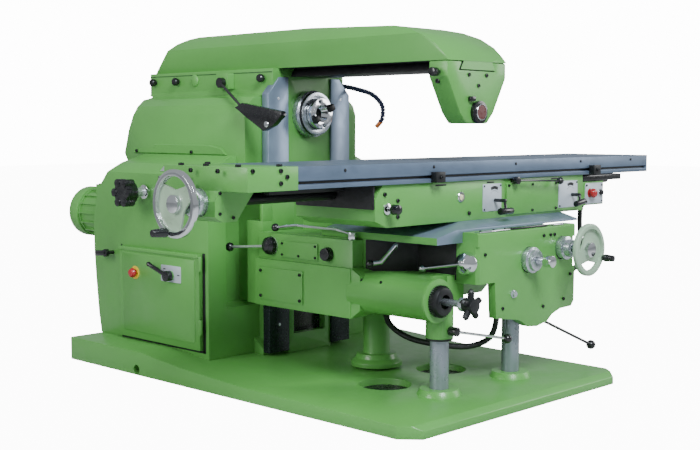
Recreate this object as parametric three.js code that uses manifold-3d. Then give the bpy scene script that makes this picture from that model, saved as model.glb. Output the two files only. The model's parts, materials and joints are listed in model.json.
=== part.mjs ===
import * as THREE from 'three';
import { mergeVertices } from 'three/addons/utils/BufferGeometryUtils.js';
import Module from 'manifold-3d';

const wasm = await Module();
wasm.setup();

// ---------------------------------------------------------------------------------
// Driving dimensions, millimetres.  +X runs along the table to the operator's right,
// +Y from the operator towards the column, +Z up.  X = 0 is the spindle plane,
// Y = 0 the face of the column ways, Z = 0 the floor.
// ---------------------------------------------------------------------------------
const GAP = 0.3;                 // running clearance between separate pieces

const BASE_HALF = 642;           // half width of the base casting
const BASE_FRONT = -1134;        // front edge of the base
const BASE_REAR = 864;           // rear edge of the base
const DECK_REAR = 100;           // deck height under the column
const DECK_FRONT = 46;           // deck height at the front rim

const BODY_HALF = 478;           // half width of the lower column body
const UPPER_HALF = 325;          // half width of the upper column body
const BAND_HALF = 205;           // half width of the overarm seat
const COLUMN_TOP = 1264;         // seat of the overarm
const WAY_HALF = 237;            // outer edge of the column ways
const WAY_INNER = 125;           // inner edge of the column ways
const WAY_DEPTH = 40;            // how far the ways stand out of the column

const SPINDLE_Z = 1078;          // height of the spindle axis
const NOSE_DIA = 128.6;          // rotating spindle nose, No. 50 taper size
const FLANGE_DIA = 196;          // fixed bearing cover round the nose
const NOSE_OUT = 71;             // nose projects this far out of the ways

const OVERARM_HALF = 174;        // half width of the overarm
const SUPPORT_BACK = -800;       // rear face of the arbor support
const SUPPORT_FRONT = -890;      // front face of the arbor support

const KNEE_RIGHT = 517;          // right face of the knee
const KNEE_FRONT = -985;         // front face of the knee
const KNEE_TOP = 640;            // cross ways on top of the knee
const KNEE_SHOULDER = 600;       // lower top surface beside the cross ways
const GEARBOX_LEFT = -330;       // outer face of the feed gearbox
const POST_LEFT = -192;          // guide posts, to the left and right of the centre plane
const POST_RIGHT = 244;
const POST_Y = -874;
const POST_DIA = 70;
const LIFT_Y = -385;             // elevating tube
const LIFT_DIA = 109;

const TABLE_FRONT = -850;        // front edge of the table
const TABLE_WIDTH = 420;
const TABLE_LEFT = -875;
const TABLE_RIGHT = 1304;
const TABLE_TOP = 897;
const TABLE_THICK = 74;
const TABLE_MID = TABLE_FRONT + TABLE_WIDTH / 2;
const BED_LEFT = -500;           // upper saddle that carries the table
const BED_RIGHT = 795;
const BED_TOP = TABLE_TOP - TABLE_THICK - GAP;
const BED_BOTTOM = 672;
const SADDLE_TOP = BED_BOTTOM - GAP;

const WHEEL_DIA = 218;
const WHEEL_Z = 784;
const CROSS_X = 424;             // cross feed handwheel
const CROSS_Z = 550;
const CROSS_Y = -1110;
const DIAL_X = 202;              // cross feed dial and clutch shaft
const DIAL_Z = 520;

// ---------------------------------------------------------------------------------
// Solid helpers
// ---------------------------------------------------------------------------------
function toSolid(geometry) {
  const g = geometry.clone();
  g.deleteAttribute('normal');
  g.deleteAttribute('uv');
  const merged = mergeVertices(g, 1e-4);
  const mesh = new wasm.Mesh({
    numProp: 3,
    vertProperties: new Float32Array(merged.attributes.position.array),
    triVerts: new Uint32Array(merged.index.array),
  });
  mesh.merge();
  return new wasm.Manifold(mesh);
}

function toMesh(name, solid, colour) {
  const out = solid.simplify(0.01).getMesh();
  const g = new THREE.BufferGeometry();
  g.setAttribute('position', new THREE.BufferAttribute(new Float32Array(out.vertProperties), 3));
  g.setIndex(new THREE.BufferAttribute(new Uint32Array(out.triVerts), 1));
  const mesh = new THREE.Mesh(g, new THREE.MeshStandardMaterial({ color: colour, roughness: 0.5 }));
  mesh.name = name;
  return mesh;
}

function box(x0, x1, y0, y1, z0, z1) {
  return wasm.Manifold.cube([x1 - x0, y1 - y0, z1 - z0]).translate([x0, y0, z0]);
}

function prism(points, length) {
  const shape = new THREE.Shape();
  points.forEach(([a, b], i) => (i ? shape.lineTo(a, b) : shape.moveTo(a, b)));
  shape.closePath();
  return toSolid(new THREE.ExtrudeGeometry(shape, { depth: length, bevelEnabled: false }));
}

// Outline given as [x, y] pairs, pulled up from z0 to z1.
function prismZ(points, z0, z1) {
  return prism(points, z1 - z0).translate([0, 0, z0]);
}

// Outline given as [y, z] pairs, pulled sideways from x0 to x1.
function prismX(points, x0, x1) {
  const m = [0, 1, 0, 0, 0, 1, 1, 0, 0];
  return transform(prism(points, x1 - x0), m).translate([x0, 0, 0]);
}

// Outline given as [x, z] pairs, pulled from y0 back to y1.
function prismY(points, y0, y1) {
  return prism(points, y1 - y0).rotate([90, 0, 0]).translate([0, y1, 0]);
}

// Column-major 3x3 turned into a 4x4 placement.
function transform(solid, m) {
  return solid.transform([m[0], m[1], m[2], 0, m[3], m[4], m[5], 0, m[6], m[7], m[8], 0, 0, 0, 0, 1]);
}

function along(axis, solid) {
  if (axis === 'x') {
    return solid.rotate([0, 90, 0]);
  }
  if (axis === 'y') {
    return solid.rotate([-90, 0, 0]);
  }
  return solid;
}

// Round bar between two stations of an axis, through the other two coordinates.
function rod(axis, dia, from, to, u, v, seg = 24, endDia = dia) {
  const low = Math.min(from, to);
  const bar = wasm.Manifold.cylinder(Math.abs(to - from), dia / 2, endDia / 2, seg, false);
  const laid = along(axis, bar);
  if (axis === 'x') {
    return laid.translate([low, u, v]);
  }
  if (axis === 'y') {
    return laid.translate([u, low, v]);
  }
  return laid.translate([u, v, low]);
}

// Turned part: [station, radius] pairs spun round an axis through the other two coordinates.
function turned(axis, profile, u, v, seg = 28) {
  const spin = (list) => toSolid(new THREE.LatheGeometry(
    list.map(([s, r]) => new THREE.Vector2(r, s)), seg).rotateX(Math.PI / 2));
  const first = spin(profile);
  const solid = first.volume() < 0 ? spin(profile.slice().reverse()) : first;
  const laid = along(axis, solid);
  if (axis === 'x') {
    return laid.translate([0, u, v]);
  }
  if (axis === 'y') {
    return laid.translate([u, 0, v]);
  }
  return laid.translate([u, v, 0]);
}

function ball(x, y, z, dia, seg = 16) {
  return wasm.Manifold.sphere(dia / 2, seg).translate([x, y, z]);
}

// Straight round bar between two points.
function bar(a, b, dia, seg = 12) {
  const from = new THREE.Vector3(...a);
  const to = new THREE.Vector3(...b);
  const dir = to.clone().sub(from);
  const len = dir.length();
  const q = new THREE.Quaternion().setFromUnitVectors(new THREE.Vector3(0, 0, 1), dir.normalize());
  const m = new THREE.Matrix4().compose(from, q, new THREE.Vector3(1, 1, 1));
  return wasm.Manifold.cylinder(len, dia / 2, dia / 2, seg, false).transform(m.elements.slice());
}

// Bent round bar through several points, with a ball at each bend.
function bentBar(points, dia, seg = 8) {
  let out = bar(points[0], points[1], dia, seg);
  for (let i = 1; i < points.length - 1; i += 1) {
    out = out.add(ball(...points[i], dia * 1.02, seg)).add(bar(points[i], points[i + 1], dia, seg));
  }
  return out;
}

// Smooth hose through several points.
function hose(points, dia, steps = 40, seg = 10) {
  const path = new THREE.CatmullRomCurve3(points.map((p) => new THREE.Vector3(...p)), false, 'centripetal');
  const ring = new THREE.Shape();
  for (let i = 0; i < seg; i += 1) {
    const a = (i / seg) * Math.PI * 2;
    const px = (Math.cos(a) * dia) / 2;
    const py = (Math.sin(a) * dia) / 2;
    if (i) {
      ring.lineTo(px, py);
    } else {
      ring.moveTo(px, py);
    }
  }
  ring.closePath();
  return toSolid(new THREE.ExtrudeGeometry(ring, { steps, extrudePath: path, bevelEnabled: false }));
}

function join(list) {
  return list.reduce((all, one) => all.add(one));
}

// ---------------------------------------------------------------------------------
// Base, column, ways
// ---------------------------------------------------------------------------------
function deckSide(grow) {
  return [
    [BASE_FRONT, -1], [BASE_REAR + 90, -1], [BASE_REAR + 90, DECK_REAR + grow],
    [350, DECK_REAR + grow], [60, 72 + grow], [-300, 54 + grow],
    [BASE_FRONT + 30, DECK_FRONT + grow], [BASE_FRONT, DECK_FRONT - 16 + grow],
  ];
}

function deck(grow) {
  return prismX(deckSide(grow), -BASE_HALF - 5, BASE_HALF + 5);
}

function base() {
  const plan = [
    [-BASE_HALF, BASE_REAR], [-BASE_HALF, BASE_FRONT + 70], [-BASE_HALF + 60, BASE_FRONT],
    [BASE_HALF - 60, BASE_FRONT], [BASE_HALF, BASE_FRONT + 70], [BASE_HALF, BASE_REAR],
  ];
  let out = deck(0).intersect(prismZ(plan, 0, 200));
  for (const x of [POST_LEFT, POST_RIGHT]) {
    out = out.add(rod('z', 170, 30, 68, x, POST_Y, 32, 140));
    out = out.subtract(rod('z', POST_DIA + 2 * GAP, 20, 90, x, POST_Y, 28));
  }
  out = out.subtract(rod('z', 200, 22, 90, -215, -628, 32));
  out = out.subtract(rod('z', 200, 22, 90, 150, -600, 32));
  out = out.subtract(rod('z', LIFT_DIA - 20, 20, 90, 0, LIFT_Y, 32));
  out = out.subtract(rod('x', 40, -BASE_HALF - 5, -BASE_HALF + 60, 373, 24, 20));
  return out.subtract(rod('x', 40, BASE_HALF - 60, BASE_HALF + 5, 373, 24, 20));
}

// The slide under the overarm: it runs in the column and carries the arbor support.
function dovetail(grow, from, to) {
  const top = COLUMN_TOP + 1;
  const low = COLUMN_TOP - 32 - grow;
  return prismY([[-86 - grow, top], [-104 - grow, low], [104 + grow, low], [86 + grow, top]], from, to);
}

function columnBody() {
  const lowerSide = [
    [100, 60], [858, 60], [884, 192], [902, 354], [912, 482], [912, 600], [900, 660], [884, 727],
    [852, 772], [796, 830], [730, 878], [690, 905], [100, 905],
  ];
  const lowerFront = [
    [-BODY_HALF, 50], [BODY_HALF, 50], [BODY_HALF, 826], [440, 868], [350, 905],
    [-350, 905], [-440, 868], [-BODY_HALF, 826],
  ];
  const upperSide = [
    [46, 820], [830, 820], [884, 905], [850, 1009], [815, 1075], [800, 1115], [800, 1150],
    [842, 1166], [842, COLUMN_TOP], [8, COLUMN_TOP], [8, 1180], [46, 1150],
  ];
  const upperFront = [
    [-UPPER_HALF, 800], [UPPER_HALF, 800], [UPPER_HALF, 1075], [310, 1115], [275, 1145],
    [BAND_HALF + 6, 1158], [BAND_HALF, 1175], [BAND_HALF, COLUMN_TOP], [-BAND_HALF, COLUMN_TOP],
    [-BAND_HALF, 1175], [-BAND_HALF - 6, 1158], [-275, 1145], [-310, 1115], [-UPPER_HALF, 1075],
  ];
  const lower = prismX(lowerSide, -500, 500).intersect(prismY(lowerFront, 0, 1000));
  const upper = prismX(upperSide, -500, 500).intersect(prismY(upperFront, -10, 1000));
  const block = box(-205, 205, WAY_DEPTH + GAP, 400, 56, 1200);
  const panel = box(-WAY_INNER + GAP, WAY_INNER - GAP, 8, 60, 56, 1230);
  const foot = prismX([[42, 50], [42, 96], [99, 140], [300, 140], [300, 50]], -236, 236);
  return join([lower, upper, block, panel, foot]).subtract(dovetail(GAP, -20, 1000));
}

const START = [396, 796, 22];       // push buttons: y, z, diameter
const JOG = [356, 796, 20];
const STOP = [376, 758, 30];

function column() {
  let out = columnBody().subtract(deck(GAP));
  for (const s of [-1, 1]) {
    const near = Math.min(s * 205, s * 385);
    out = out.subtract(box(near, near + 180, 60, 230, 281, 819));
    const lip = Math.min(s * 205, s * 310);
    out = out.subtract(box(lip, lip + 105, 38, 99, 140.5, 819));
    out = out.subtract(wayBlank(s, GAP));
  }
  out = out.subtract(rod('y', FLANGE_DIA - 30, -20, 200, 0, SPINDLE_Z, 40));
  out = out.subtract(box(-92, 92, -5, 46, 150, 380));
  out = out.add(box(-BODY_HALF - 6, -BODY_HALF + 4, 330, 420, 738, 822));
  for (const [y, z, dia] of [START, JOG, STOP]) {
    out = out.subtract(rod('x', dia + 1, -BODY_HALF - 10, -BODY_HALF + 6, y, z, 18));
  }
  return out.add(box(-BAND_HALF - 34, -BAND_HALF + 6, 254, 330, 1184, 1250));
}

function wayBlank(side, grow) {
  const inner = side * (WAY_INNER - grow);
  const outer = side * (WAY_HALF + grow);
  const top = side * (WAY_HALF - 62);
  const foot = 84 - grow;
  const pts = [[inner, foot], [outer, foot], [outer, 1160], [top, 1228 + grow], [inner, 1228 + grow]];
  return prismY(side > 0 ? pts : pts.reverse(), -grow, WAY_DEPTH);
}

const DOOR_FACE = -BODY_HALF - 18;

function cabinetDoor() {
  const plate = box(-BODY_HALF - 18, -BODY_HALF - GAP, 138, 692, 112, 506);
  const rib = box(-BODY_HALF - 24, -BODY_HALF - 10, 138, 692, 492, 506);
  const label = box(DOOR_FACE - 4, DOOR_FACE + 4, 250, 388, 378, 450);
  const boss = rod('x', 40, DOOR_FACE - 12, DOOR_FACE + 4, 318, 407, 20);
  const ring = rod('x', 58, DOOR_FACE - 3, DOOR_FACE + 4, 572, 398, 24);
  const hole = rod('x', 24, DOOR_FACE - 10, DOOR_FACE + 12, 572, 398, 20);
  return join([plate, rib, label, boss, ring]).subtract(hole);
}

function doorLatch() {
  const y = 765;
  const spindle = rod('x', 18, -BODY_HALF - 36, -BODY_HALF - GAP, y, 470, 16);
  const handle = rod('x', 34, -BODY_HALF - 46, -BODY_HALF - 30, y, 470, 18);
  const grip = bar([-BODY_HALF - 38, y, 470], [-BODY_HALF - 44, y + 62, 466], 26, 12);
  return join([spindle, handle, grip]);
}

function switchLever() {
  const x = DOOR_FACE - 12 - GAP;
  const hub = rod('x', 44, x - 24, x, 318, 407, 20);
  return join([hub, bar([x - 14, 318, 407], [x - 20, 434, 448], 18, 12), ball(x - 20, 434, 448, 22, 12)]);
}

function doorStop() {
  return turned('x', [
    [DOOR_FACE - 34, 0], [DOOR_FACE - 30, 16], [DOOR_FACE - 20, 21], [DOOR_FACE - 14, 21],
    [DOOR_FACE - 13, 11], [DOOR_FACE + 3, 11], [DOOR_FACE + 3, 0],
  ], 572, 398, 20);
}

function motor() {
  const x = -285;
  const z = 622;
  let out = rod('y', 214, 912 + GAP, 1168, x, z, 32);
  for (let i = 0; i < 16; i += 1) {
    const a = (i / 16) * Math.PI * 2;
    const fin = box(-3, 3, 0, 222, 96, 117).rotate([0, (a * 180) / Math.PI, 0]);
    out = out.add(fin.translate([x, 930, z]));
  }
  return out.add(box(x - 60, x + 60, 960, 1090, z + 80, z + 134));
}

function fanCover() {
  return turned('y', [
    [1168 + GAP, 0], [1168 + GAP, 118], [1232, 118], [1252, 96], [1256, 60], [1256, 0],
  ], -285, 622, 32);
}

// ---------------------------------------------------------------------------------
// Overarm, arbor support, spindle, coolant
// ---------------------------------------------------------------------------------
function overarm() {
  const z = COLUMN_TOP + GAP;
  const side = [
    [842, z], [826, 1285], [755, 1366], [709, 1396], [650, 1416], [590, 1424], [-123, 1424], [-600, 1405],
    [-690, 1388], [-770, 1360], [-832, 1325], [-872, 1288], [-892, z],
  ];
  const section = [
    [-OVERARM_HALF, z - 5], [OVERARM_HALF, z - 5], [OVERARM_HALF, 1368], [150, 1400],
    [118, 1425], [-118, 1425], [-150, 1400], [-OVERARM_HALF, 1368],
  ];
  const solid = prismX(side, -200, 200).intersect(prismY(section, -950, 900));
  return solid.add(dovetail(0, -892, 842));
}

function arborSupport() {
  const outline = [
    [-OVERARM_HALF, COLUMN_TOP], [-OVERARM_HALF, 1205], [-100, 1075], [-62, 1036], [62, 1036],
    [100, 1075], [OVERARM_HALF, 1205], [OVERARM_HALF, COLUMN_TOP],
  ];
  const plate = prismY(outline, SUPPORT_FRONT, SUPPORT_BACK);
  const bore = rod('y', 60, SUPPORT_FRONT - 5, SUPPORT_BACK + 5, 0, SPINDLE_Z, 28);
  return plate.subtract(dovetail(GAP, -1000, 0)).subtract(bore);
}

function supportCap() {
  const f = SUPPORT_FRONT - GAP;
  const profile = [[f - 20, 0], [f - 20, 30], [f - 16, 32], [f - 16, 42], [f, 42], [f, 0]];
  return turned('y', profile, 0, SPINDLE_Z, 28);
}

function supportKnob() {
  const x = -OVERARM_HALF - GAP;
  return turned('x', [[x - 44, 0], [x - 44, 16], [x - 16, 16], [x - 14, 8], [x, 8], [x, 0]], -850, 1222, 18);
}

function spindleFlange() {
  const y = 8 - GAP;
  return turned('y', [
    [y, 66], [y, FLANGE_DIA / 2], [-22, FLANGE_DIA / 2], [-26, 90], [-44, 90], [-44, 66], [y, 66],
  ], 0, SPINDLE_Z, 40);
}

function spindleNose() {
  const r = NOSE_DIA / 2;
  const shaft = turned('y', [
    [-NOSE_OUT, 35], [-NOSE_OUT, r], [8, r], [40, 52], [150, 52], [150, 0], [40, 0], [-NOSE_OUT, 35],
  ], 0, SPINDLE_Z, 40);
  let out = shaft;
  for (let i = 0; i < 4; i += 1) {
    const a = Math.PI * (0.08 + i / 2);
    const x = Math.cos(a) * 50.8;
    const z = SPINDLE_Z + Math.sin(a) * 50.8;
    out = out.subtract(rod('y', 16, -NOSE_OUT - 5, -NOSE_OUT + 24, x, z, 12));
  }
  for (const turn of [60, 240]) {
    const key = box(-12, 12, -NOSE_OUT - 22, -NOSE_OUT + 3, 38, 62);
    out = out.add(key.rotate([0, turn, 0]).translate([0, 0, SPINDLE_Z]));
  }
  return out;
}

function coolantHose() {
  const pts = [[BAND_HALF + 10, 62, 1202], [242, 34, 1200], [256, -34, 1186], [266, -112, 1162],
    [270, -164, 1116], [267, -168, 1062]];
  return hose(pts, 22, 22, 10).add(rod('x', 38, BAND_HALF + GAP, BAND_HALF + 16, 62, 1202, 18));
}

function coolantNozzle() {
  return bar([265, -166, 1049], [250, -148, 1022], 20, 12);
}

// ---------------------------------------------------------------------------------
// Speed controls on the column
// ---------------------------------------------------------------------------------
function speedLever() {
  const x = -BAND_HALF - 34 - GAP;
  const hub = rod('x', 44, x - 20, x, 286, 1210, 20);
  const neck = bar([x - 12, 282, 1206], [-348, 44, 1108], 13, 12);
  const blade = prismX([[66, 1102], [22, 1120], [-78, 1104], [-208, 1084], [-212, 1068], [-163, 1030],
    [-104, 1008], [-8, 1060]], -361, -335);
  return join([hub, neck, blade]);
}

function lobedKnob() {
  const x = -BODY_HALF - GAP;
  const y = 516;
  const z = 748;
  let out = rod('x', 40, x - 84, x, y, z, 20);
  out = out.add(rod('x', 96, x - 128, x - 72, y, z, 20));
  for (let i = 0; i < 6; i += 1) {
    const a = (i / 6) * Math.PI * 2;
    out = out.add(rod('x', 36, x - 132, x - 84, y + Math.cos(a) * 46, z + Math.sin(a) * 46, 12));
  }
  return out;
}

function plateButton([y, z, dia], out) {
  return rod('x', dia, -BODY_HALF - 6 - out, -BODY_HALF - 1, y, z, 18);
}

// ---------------------------------------------------------------------------------
// Guide posts, elevating tube
// ---------------------------------------------------------------------------------
function guidePost(x) {
  return rod('z', POST_DIA, 20.3, 430, x, POST_Y, 28);
}

function liftTube() {
  const tube = rod('z', LIFT_DIA, 60 + GAP, 440, 0, LIFT_Y, 32);
  const foot = [[60 + GAP, 0], [60 + GAP, 104], [78, 104], [92, 86], [112, 80], [112, 0]];
  const collar = turned('z', foot, 0, LIFT_Y, 32);
  return tube.add(collar).subtract(deck(GAP));
}

// ---------------------------------------------------------------------------------
// Knee
// ---------------------------------------------------------------------------------
function kneeBody() {
  const plan = [
    [-290, -GAP], [-250, -560], [-110, -700], [-110, KNEE_FRONT + 12], [-98, KNEE_FRONT],
    [KNEE_RIGHT - 14, KNEE_FRONT], [KNEE_RIGHT, KNEE_FRONT + 14], [KNEE_RIGHT, -470],
    [290, -250], [290, -GAP],
  ];
  const side = [
    [-GAP, 300], [-520, 318], [-640, 452], [KNEE_FRONT, 452], [KNEE_FRONT, KNEE_SHOULDER],
    [-GAP, KNEE_SHOULDER],
  ];
  const main = prismZ(plan, 290, KNEE_SHOULDER).intersect(prismX(side, -400, 600));
  const ways = box(-110, 400, KNEE_FRONT + 40, -70, 590, KNEE_TOP);
  const brow = prismX([[KNEE_FRONT, 590], [KNEE_FRONT, KNEE_TOP - 6], [KNEE_FRONT + 6, KNEE_TOP],
    [KNEE_FRONT + 60, KNEE_TOP], [KNEE_FRONT + 60, 590]], -110, KNEE_RIGHT);
  return join([main, ways, brow]);
}

function kneeGibs() {
  const parts = [];
  for (const s of [-1, 1]) {
    const a = Math.min(s * 237.6, s * 290);
    parts.push(box(a, a + 52.4, -20, 76, 300, 640));
    const h = Math.min(s * 207, s * 290);
    parts.push(box(h, h + 83, 41, 76, 300, 640));
  }
  return join(parts);
}

function kneeApron() {
  const outline = [
    [-7, 470], [-7, 440], [2, 316], [145, 295], [205, 262], [262, 256], [331, 268], [365, 292],
    [420, 308], [497, 310], [515, 330], [KNEE_RIGHT, 425], [KNEE_RIGHT, 470],
  ];
  return prismY(outline, KNEE_FRONT, KNEE_FRONT + 34);
}

function kneeGearbox() {
  const low = box(GEARBOX_LEFT, -240, -555, -18, 306, 494);
  const high = box(GEARBOX_LEFT + 22, -240, -545, -18, 480, KNEE_SHOULDER - 2);
  const slope = prismX([[-555, 306], [-555, 494], [-600, 470], [-600, 340]], GEARBOX_LEFT + 4, -200);
  return join([low, high, slope]);
}

function kneeCylinder() {
  const barrel = rod('y', 152, -926, -540, -262, 404, 32);
  const rim = rod('y', 160, -926, -912, -262, 404, 32);
  const bossL = rod('z', 102, 258, 404, POST_LEFT, POST_Y, 28);
  const bossR = rod('z', 116, 290, 470, POST_RIGHT, POST_Y, 28);
  const web = box(-262, -60, -880, -560, 380, 480);
  return join([barrel, rim, bossL, bossR, web]);
}

function knee() {
  const covers = [coverUpper(), coverLower()];
  let out = join([kneeBody(), kneeGibs(), kneeApron(), kneeGearbox(), kneeCylinder(), ...covers]);
  for (const x of [POST_LEFT, POST_RIGHT]) {
    out = out.subtract(rod('z', POST_DIA + 1.2, 200, 586, x, POST_Y, 28));
  }
  out = out.subtract(rod('z', LIFT_DIA + 2, 200, 592, 0, LIFT_Y, 32));
  return out;
}

function coverUpper() {
  const x = GEARBOX_LEFT + 22;
  return box(x - 6, x + 4, -362, -150, 508, 572);
}

function coverLower() {
  return box(GEARBOX_LEFT - 6, GEARBOX_LEFT + 4, -300, -44, 332, 462);
}

function gearboxKnob() {
  const x = GEARBOX_LEFT + 22 - GAP;
  return turned('x', [[x - 26, 0], [x - 26, 24], [x - 6, 28], [x, 28], [x, 0]], -418, 538, 20);
}

function sideLever() {
  const x = GEARBOX_LEFT + 22 - GAP;
  const bell = [[x - 40, 0], [x - 36, 18], [x - 22, 34], [x - 4, 38], [x, 38], [x, 0]];
  const dome = turned('x', bell, -92, 548, 24);
  const arm = bar([x - 26, -92, 548], [x - 36, 120, 530], 11, 10);
  return join([dome, arm, ball(x - 36, 124, 530, 38, 16)]);
}

function feedDial() {
  const y = -926 - GAP;
  const outline = [[y - 34, 26], [y - 30, 50], [y - 6, 58], [y, 58], [y, 26], [y - 34, 26]];
  return turned('y', outline, -262, 404, 28);
}

function crankShaft() {
  const y = -926 - GAP;
  const bar1 = rod('y', 26, y - 110, y, -262, 404, 20);
  const hub = rod('y', 50, y - 122, y - 104, -262, 404, 20);
  return bar1.add(hub);
}

function starHandle() {
  const y = -926 - 122 - 2 * GAP;
  let out = rod('y', 52, y - 44, y, -262, 404, 20);
  for (let i = 0; i < 5; i += 1) {
    const a = (i / 5) * Math.PI * 2 + 0.3;
    const tip = [-262 + Math.cos(a) * 46, y - 24, 404 + Math.sin(a) * 46];
    out = out.add(bar([-262, y - 24, 404], tip, 24, 8)).add(ball(...tip, 26, 8));
  }
  return out;
}

function frontLeftLever() {
  const x = -110 - GAP;
  const y = -938;
  const bell = [[x - 44, 0], [x - 40, 18], [x - 26, 38], [x - 8, 44], [x, 44], [x, 0]];
  const dome = turned('x', bell, y, 528, 24);
  const arm = bar([x - 34, y, 528], [x - 48, -766, 498], 11, 10);
  return join([dome, arm, ball(x - 48, -762, 498, 30, 14)]);
}

function bentLever() {
  const pts = [[-284, -520, KNEE_SHOULDER + 16], [-284, -440, 632], [-290, -230, 636], [-304, -120, 624]];
  return bentBar(pts, 11).add(rod('z', 34, KNEE_SHOULDER - 2 + GAP, KNEE_SHOULDER + 26, -284, -520, 16))
    .add(ball(-304, -112, 622, 34, 14));
}

function zCrank() {
  const pts = [[-184, -650, 582], [-206, -672, 582], [-252, -640, 520], [-284, -622, 516]];
  return bentBar(pts, 18).add(ball(-290, -618, 516, 30, 14));
}

function crossDial() {
  const y = KNEE_FRONT - GAP;
  const ring = [[y - 40, 14], [y - 40, 40], [y - 26, 40], [y - 24, 50], [y, 50], [y, 14], [y - 40, 14]];
  return turned('y', ring, DIAL_X, DIAL_Z, 28);
}

function crossShaft() {
  const y = KNEE_FRONT - GAP;
  const shaft = rod('y', 27, y - 96, y, DIAL_X, DIAL_Z, 18);
  const jaw = rod('y', 44, y - 112, y - 76, DIAL_X, DIAL_Z, 18);
  return shaft.add(jaw);
}

function wheelBush() {
  const y = KNEE_FRONT - GAP;
  const bush = [[y - 54, 16], [y - 54, 34], [y - 30, 34], [y - 28, 46], [y, 46], [y, 16], [y - 54, 16]];
  return turned('y', bush, CROSS_X, CROSS_Z, 28);
}

// Rim, dished web with openings and hub: a hand wheel turned round the Y axis at the origin.
function wheelBlank(dia, seg) {
  const r = dia / 2;
  const section = [[-11, r - 20], [-11, r - 6], [-6, r], [6, r], [11, r - 6], [11, r - 20], [-11, r - 20]];
  const rim = turned('y', section, 0, 0, seg);
  const hub = rod('y', 58, -14, 20, 0, 0, 20);
  let web = rod('y', dia - 30, 2, 9, 0, 0, seg);
  for (let i = 0; i < 3; i += 1) {
    const a0 = (i * 120 + 14) * (Math.PI / 180);
    const a1 = (i * 120 + 106) * (Math.PI / 180);
    const pts = [];
    for (let k = 0; k <= 6; k += 1) {
      const a = a0 + ((a1 - a0) * k) / 6;
      pts.push([Math.cos(a) * (r - 21), Math.sin(a) * (r - 21)]);
    }
    const mid = (a0 + a1) / 2;
    pts.push([Math.cos(mid) * 44, Math.sin(mid) * 44]);
    if (i !== 2) {
      web = web.subtract(prismY(pts, 0, 12));
    }
  }
  return join([rim, hub, web]);
}

function crossWheel() {
  const wheel = wheelBlank(204, 40).rotate([0, -90, 0]).translate([CROSS_X, CROSS_Y, CROSS_Z]);
  return wheel.add(rod('y', 30, CROSS_Y + 10, KNEE_FRONT - GAP, CROSS_X, CROSS_Z, 18));
}

function crossGrip() {
  return turned('y', [
    [CROSS_Y - 62, 0], [CROSS_Y - 62, 12], [CROSS_Y - 24, 15], [CROSS_Y - 11.3, 9], [CROSS_Y - 11.3, 0],
  ], CROSS_X + 80, CROSS_Z - 36, 16);
}

function lowerLever() {
  const face = POST_RIGHT + 58 + GAP;
  const pts = [[face + 12, POST_Y, 330], [face + 40, -900, 262], [400, -918, 254], [728, -930, 116]];
  const hub = rod('x', 36, face, face + 22, POST_Y, 330, 18);
  return join([bentBar(pts, 12), hub, ball(735, -930, 113, 40, 16)]);
}

function postClamp() {
  const z = 288;
  const y = POST_Y - 51 - GAP;
  const hub = rod('y', 34, y - 34, y, POST_LEFT, z, 18);
  const arm = bar([POST_LEFT, y - 26, z], [30, y - 84, 242], 11, 10);
  return join([hub, arm, ball(36, y - 86, 240, 36, 16)]);
}

function drainHose() {
  const pts = [[-70, -500, 306], [-74, -512, 262], [-60, -600, 208], [10, -720, 182], [92, -800, 178],
    [146, -850, 212], [158, -872, 300], [158, -874, 400], [158, -874, 448]];
  return hose(pts, 24, 30, 8);
}

function conduit() {
  const pts = [[930, -740, 689], [930, -740, 660], [932, -738, 600], [945, -736, 500], [950, -728, 430],
    [900, -690, 372],    [780, -600, 352], [640, -500, 350], [545, -420, 356]];
  return hose(pts, 22, 30, 8);
}

// ---------------------------------------------------------------------------------
// Saddle, bed, table
// ---------------------------------------------------------------------------------
function saddle() {
  const section = [
    [-258, 602], [-112, 602], [-112, KNEE_TOP + GAP], [402, KNEE_TOP + GAP], [402, 602], [470, 602],
    [470, KNEE_TOP + GAP + 2], [640, KNEE_TOP + GAP + 2], [640, SADDLE_TOP], [-40, SADDLE_TOP], [-258, 628],
  ];
  const side = [
    [-915, 590], [-915, 650], [-838, SADDLE_TOP], [-330, SADDLE_TOP], [-330, 590],
  ];
  const body = prismY(section, -915, -330).intersect(prismX(side, -300, 700));
  const relief = box(400, 480, -1000, -910 + 60, 590, KNEE_TOP + GAP + 2);
  return body.subtract(relief);
}

function bed() {
  const outline = [
    [BED_LEFT + 60, BED_BOTTOM], [BED_RIGHT, BED_BOTTOM], [BED_RIGHT, BED_TOP], [BED_LEFT + 40, BED_TOP],
    [BED_LEFT, BED_TOP - 50], [BED_LEFT, BED_BOTTOM + 26],
  ];
  const body = prismY(outline, TABLE_FRONT + 12, TABLE_FRONT + TABLE_WIDTH - 12);
  const slot = box(-600, 900, TABLE_MID - 61, TABLE_MID + 61, BED_TOP - 26, BED_TOP + 5);
  const tunnel = rod('x', 42, -600, 900, TABLE_MID, WHEEL_Z, 20);
  const control = controlBox().add(controlPlate());
  return body.subtract(slot).subtract(tunnel).add(control);
}

const BED_FACE = TABLE_FRONT + 12;

function bedCover() {
  return box(250, 748, BED_FACE - 7, BED_FACE - GAP, BED_BOTTOM + 8, 806);
}

function controlBox() {
  const stopHole = rod('y', 22, BED_FACE, BED_FACE + 14, 850, 742, 18);
  const holes = stopHole.add(rod('y', 24, BED_FACE, BED_FACE + 14, 930, 742, 18));
  return box(BED_RIGHT - 6, 962, BED_FACE + 4, BED_FACE + 170, 690, 790).subtract(holes);
}

function controlPlate() {
  const plate = box(812, 956, BED_FACE, BED_FACE + 8, 694, 786);
  const red = rod('y', 22, BED_FACE - 5, BED_FACE + 8, 850, 742, 18);
  return plate.subtract(red).subtract(rod('y', 24, BED_FACE - 5, BED_FACE + 8, 930, 742, 18));
}

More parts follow.
